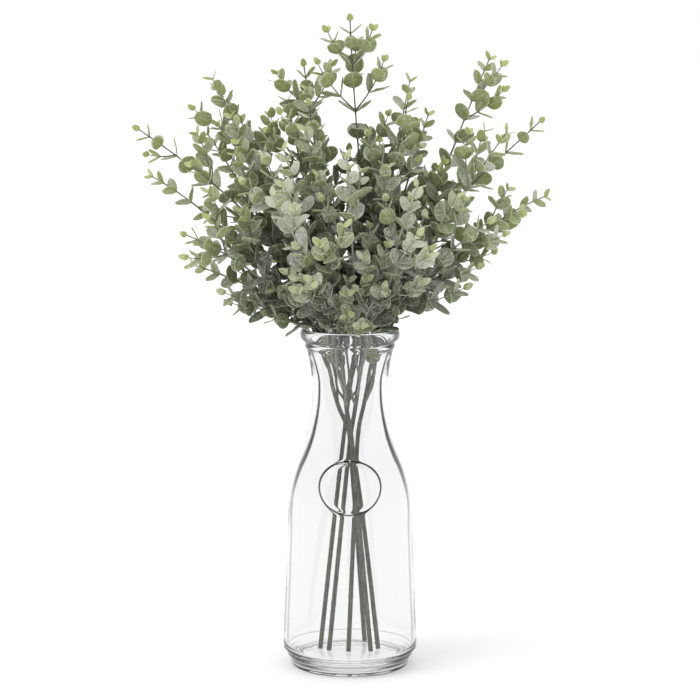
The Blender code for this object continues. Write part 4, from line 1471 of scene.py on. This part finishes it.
def hollow_edge(outer, inner):
    """For each row of the outer skin, how turned away it is where the hollow's edge shows behind it."""
    radii, heights = np.array(outer).T
    hollow = read_table(inner[::-1], heights, column=0, key=1) + read_table(HOLLOW_LINE, heights, 3)
    slope = np.arctan2(-np.gradient(radii), np.gradient(heights) + 1e-6)
    level = np.sqrt(np.clip(1 - np.clip(hollow / radii, 0, 0.995) ** 2, 0, 1))
    return 1 - (np.cos(slope) * level * math.cos(LOOK_DOWN) + np.sin(slope) * math.sin(LOOK_DOWN))


def outer_shade(height, swelling):
    """How early and how dark the painted shade is on one row of the outer skin, column by column, and where
    the oval is.
    """
    raised = np.clip(swelling / OVAL_RAISE * 3, 0, 1)
    plain = [read_table(OUTER_SHADE, height, column) for column in (1, 2)]
    early, dark = (own + (on_oval - own) * raised for own, on_oval in zip(plain, OVAL_SHADE))
    return np.column_stack((early, dark, raised))


def hollow_line(turned, height, columns):
    """Where, how wide and how dark the hollow's painted dark line is on one row of the outer skin."""
    in_reach = HOLLOW_LINE[0][0] < height < HOLLOW_LINE[-1][0]
    dark = read_table(HOLLOW_LINE, height, 1) if in_reach else 0.0
    return np.tile((turned, read_table(HOLLOW_LINE, height, 2), dark), (columns, 1))


def ring_of_points(radius, angles, height):
    """Points of one row of the skin, on one radius or on one for each column."""
    return np.column_stack((radius * np.cos(angles), radius * np.sin(angles), np.full(len(angles), height)))


def build_bottle(material):
    """Closed skin of the bottle."""
    outer, inner = glass_outline()
    angles = column_angles()
    columns = len(angles)
    points, shades, lines = [], [], []
    for (radius, height), turned in zip(outer, hollow_edge(outer, inner)):
        swelling = oval_swelling(radius, angles, height)
        points.append(ring_of_points(radius + swelling, angles, height))
        shades.append(outer_shade(height, swelling))
        lines.append(hollow_line(turned, height, columns))
    points += [ring_of_points(radius, angles, height) for radius, height in inner]
    rows = len(points)
    middles = [(0.0, 0.0, FOOT_OUTLINE[0][1]), (0.0, 0.0, FLOOR_HEIGHT)]
    faces = skin_faces(rows, columns)
    underside, floor, last = rows * columns, rows * columns + 1, (rows - 1) * columns
    for here in range(columns):
        there = (here + 1) % columns
        faces += [(underside, there, here), (floor, last + here, last + there)]
    bottle = mesh_piece("bottle_glass", np.vstack(points + [middles]), faces)
    bottle.data.materials.append(material)
    bare = np.zeros((len(inner) * columns + len(middles), 3))
    # Where and how dark the painted shade lies on the outer skin; the inside and the two middles get none.
    write_attribute(bottle, "moulded", shades + [bare])
    write_attribute(bottle, "hollow_line", lines + [bare])
    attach(bottle, "root")
    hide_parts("bottle")
    return bottle


# %% [markdown]
# Clear glass has almost no colour of its own. On white paper it shows dark lines, drawn by darker surroundings
# that
# the glass bends and mirrors: one where the edge of the hollow lies behind the skin, and others where its
# moulded rounds turn away from the eye. Here those lines are painted shade. The mesh keeps for each row where
# they belong, and the material paints the skin's colour dark there, by how far it is turned away. A very
# slight unevenness, much wider than it is deep, makes the lines and reflections waver.

# %% The glass
CLEAR_GLASS = (0.928, 0.932, 0.930, 1)
# Colour that the painted shade gives the glass where it is darkest.
PAINTED_GLASS_SHADE = (0.002, 0.0024, 0.0024, 1)
WAVER_SCALE = 22.0


def hollow_shade(tree, edge_on):
    """Painted dark line along the edge of the hollow, sharp on its inner side and softer on its outer side."""
    place, width, depth = kept_values(tree, "hollow_line")
    past = maths(tree, "DIVIDE", maths(tree, "SUBTRACT", edge_on, place), width)
    before = maths(tree, "DIVIDE", maths(tree, "SUBTRACT", place, edge_on), width)
    return times(tree, soft_step(tree, past, 0.98, 0.05), soft_step(tree, before, 0.62, 0.20), depth)


def moulded_shade(tree, edge_on):
    """Painted shade on the heel, the lip and the oval where they turn away. The oval's fades at the sides."""
    early, dark, on_oval = kept_values(tree, "moulded")
    shade = soft_step(tree, times(tree, edge_on, early), 0.45, 0.85)
    faded = times(tree, on_oval, soft_step(tree, edge_on, 0.50, 0.72))
    return times(tree, shade, dark, maths(tree, "SUBTRACT", 1.0, faded))


def glass_material():
    """Clear moulded glass with painted shade where the hollow's edge shows and where its rounds turn away."""
    material, tree, shader = new_material("clear_glass", Roughness=0.0, Metallic=0.0,
                                          Transmission_Weight=1.0, IOR=1.5)
    edge_on = add_node(tree, "ShaderNodeLayerWeight", Blend=0.5).outputs["Facing"]
    from_air = maths(tree, "SUBTRACT", 1.0, add_node(tree, "ShaderNodeNewGeometry").outputs["Backfacing"])
    # Painted shade: the hollow's line and the turned moulded parts paint the glass's colour dark, seen from
    # the air side only.
    line = maths(tree, "MAXIMUM", hollow_shade(tree, edge_on), moulded_shade(tree, edge_on))
    clear = maths(tree, "SUBTRACT", 1.0, times(tree, line, from_air))
    line = maths(tree, "SUBTRACT", 1.0, times(tree, clear, clear))
    waver = noise(tree, position(tree), WAVER_SCALE, detail=1.0)
    colour = mix_colour(tree, line, CLEAR_GLASS, PAINTED_GLASS_SHADE)
    dress(tree, shader, colour, waver, strength=0.25, distance=0.0012)
    return material


bottle = build_bottle(glass_material())
print("bottle faces:", len(bottle.data.polygons))

# %% [markdown]
# The floor is one wide pale sheet. It lies a hair below the foot, so that glass and floor never share a
# plane.

# %% The floor
FLOOR_HALF = 20.0
FLOOR_DROP = 0.2
FLOOR_GLOW = 0.18
GLOW_THROUGH_GLASS = 1.08
PAPER_CLOUD_SCALE = 6.0
PAPER_GRAIN_SCALE = 400.0
PAPER_TONES = [(0.86, 0.86, 0.86, 1), (0.88, 0.88, 0.88, 1)]
WHITE = (1, 1, 1, 1)


def mix_light(tree, share, first, second):
    """Blend of two shaders."""
    return add_node(tree, "ShaderNodeMixShader", in_0=share, in_1=first, in_2=second).outputs[0]


def floor_material():
    """Pale matt paper with a trace of grain, evenly bright where it is seen through glass."""
    material, tree, shader = new_material("pale_floor", Roughness=0.9, Specular_IOR_Level=0.2,
                                          Emission_Color=WHITE, Emission_Strength=FLOOR_GLOW)
    place = position(tree)
    colour = mix_colour(tree, noise(tree, place, PAPER_CLOUD_SCALE, detail=2.0), *PAPER_TONES)
    grain = from_group(tree, GRAIN, Place=place, Scale=PAPER_GRAIN_SCALE)
    dress(tree, shader, colour, grain, strength=0.02, distance=0.001)
    through_glass = add_node(tree, "ShaderNodeLightPath").outputs["Is Transmission Ray"]
    glow = add_node(tree, "ShaderNodeEmission", Color=WHITE, Strength=GLOW_THROUGH_GLASS)
    shown = mix_light(tree, through_glass, shader.outputs[0], glow.outputs[0])
    connect(tree, tree.nodes["Material Output"], "Surface", shown)
    return material


corners = [(-1, -1), (1, -1), (1, 1), (-1, 1)]
sheet = bpy.data.meshes.new("floor")
sheet.from_pydata([(x * FLOOR_HALF, y * FLOOR_HALF, -FLOOR_DROP * MM) for x, y in corners], [],
                  [(0, 1, 2, 3)])
sheet.materials.append(floor_material())
floor = add_object("floor", sheet)

# %% [markdown]
# The light is a bright even room, with one large soft lamp high on the left that throws a faint shadow to the
# right. Behind the bottle the room is plain white. Clear glass on white needs a little contrast, so a
# slightly dimmer band with soft edges runs round the room above eye level. Only rays that glass bends or
# mirrors see it.

# %% Light
ROOM_LIGHT = 0.98
BAND_LIGHT = 0.75
BACKDROP_LIGHT = 1.0
BAND_LOW, BAND_HIGH = 0.22, 0.70
BAND_SOFT = 0.06
SUN_WAY_DEG = (40, 0, -62)
SUN_SOFT_DEG = 36
SUN_STRENGTH = 0.7

world = bpy.data.worlds.new("bright_room")
bpy.context.scene.world = world
world.use_nodes = True
sky = world.node_tree
sky.nodes.clear()


def white_light(strength):
    """Even white light from the room."""
    return add_node(sky, "ShaderNodeBackground", Color=WHITE, Strength=strength).outputs[0]


ray = add_node(sky, "ShaderNodeLightPath").outputs
room_place = add_node(sky, "ShaderNodeTexCoord").outputs["Generated"]
height = add_node(sky, "ShaderNodeSeparateXYZ", Vector=room_place).outputs[2]
above = soft_step(sky, height, BAND_LOW - BAND_SOFT, BAND_LOW + BAND_SOFT)
below = soft_step(sky, height, BAND_HIGH + BAND_SOFT, BAND_HIGH - BAND_SOFT)
in_glass = maths(sky, "MAXIMUM", ray["Is Glossy Ray"], ray["Is Transmission Ray"])
band = times(sky, above, below, in_glass)
room_light = mix_light(sky, band, white_light(ROOM_LIGHT), white_light(BAND_LIGHT))
seen = mix_light(sky, ray["Is Camera Ray"], room_light, white_light(BACKDROP_LIGHT))
add_node(sky, "ShaderNodeOutputWorld", Surface=seen)

lamp = bpy.data.lights.new("soft_lamp", "SUN")
lamp.angle = math.radians(SUN_SOFT_DEG)
lamp.energy = SUN_STRENGTH
lamp_object = add_object("soft_lamp", lamp)
lamp_object.rotation_euler = [math.radians(value) for value in SUN_WAY_DEG]

bpy.context.scene.view_settings.view_transform = "Standard"
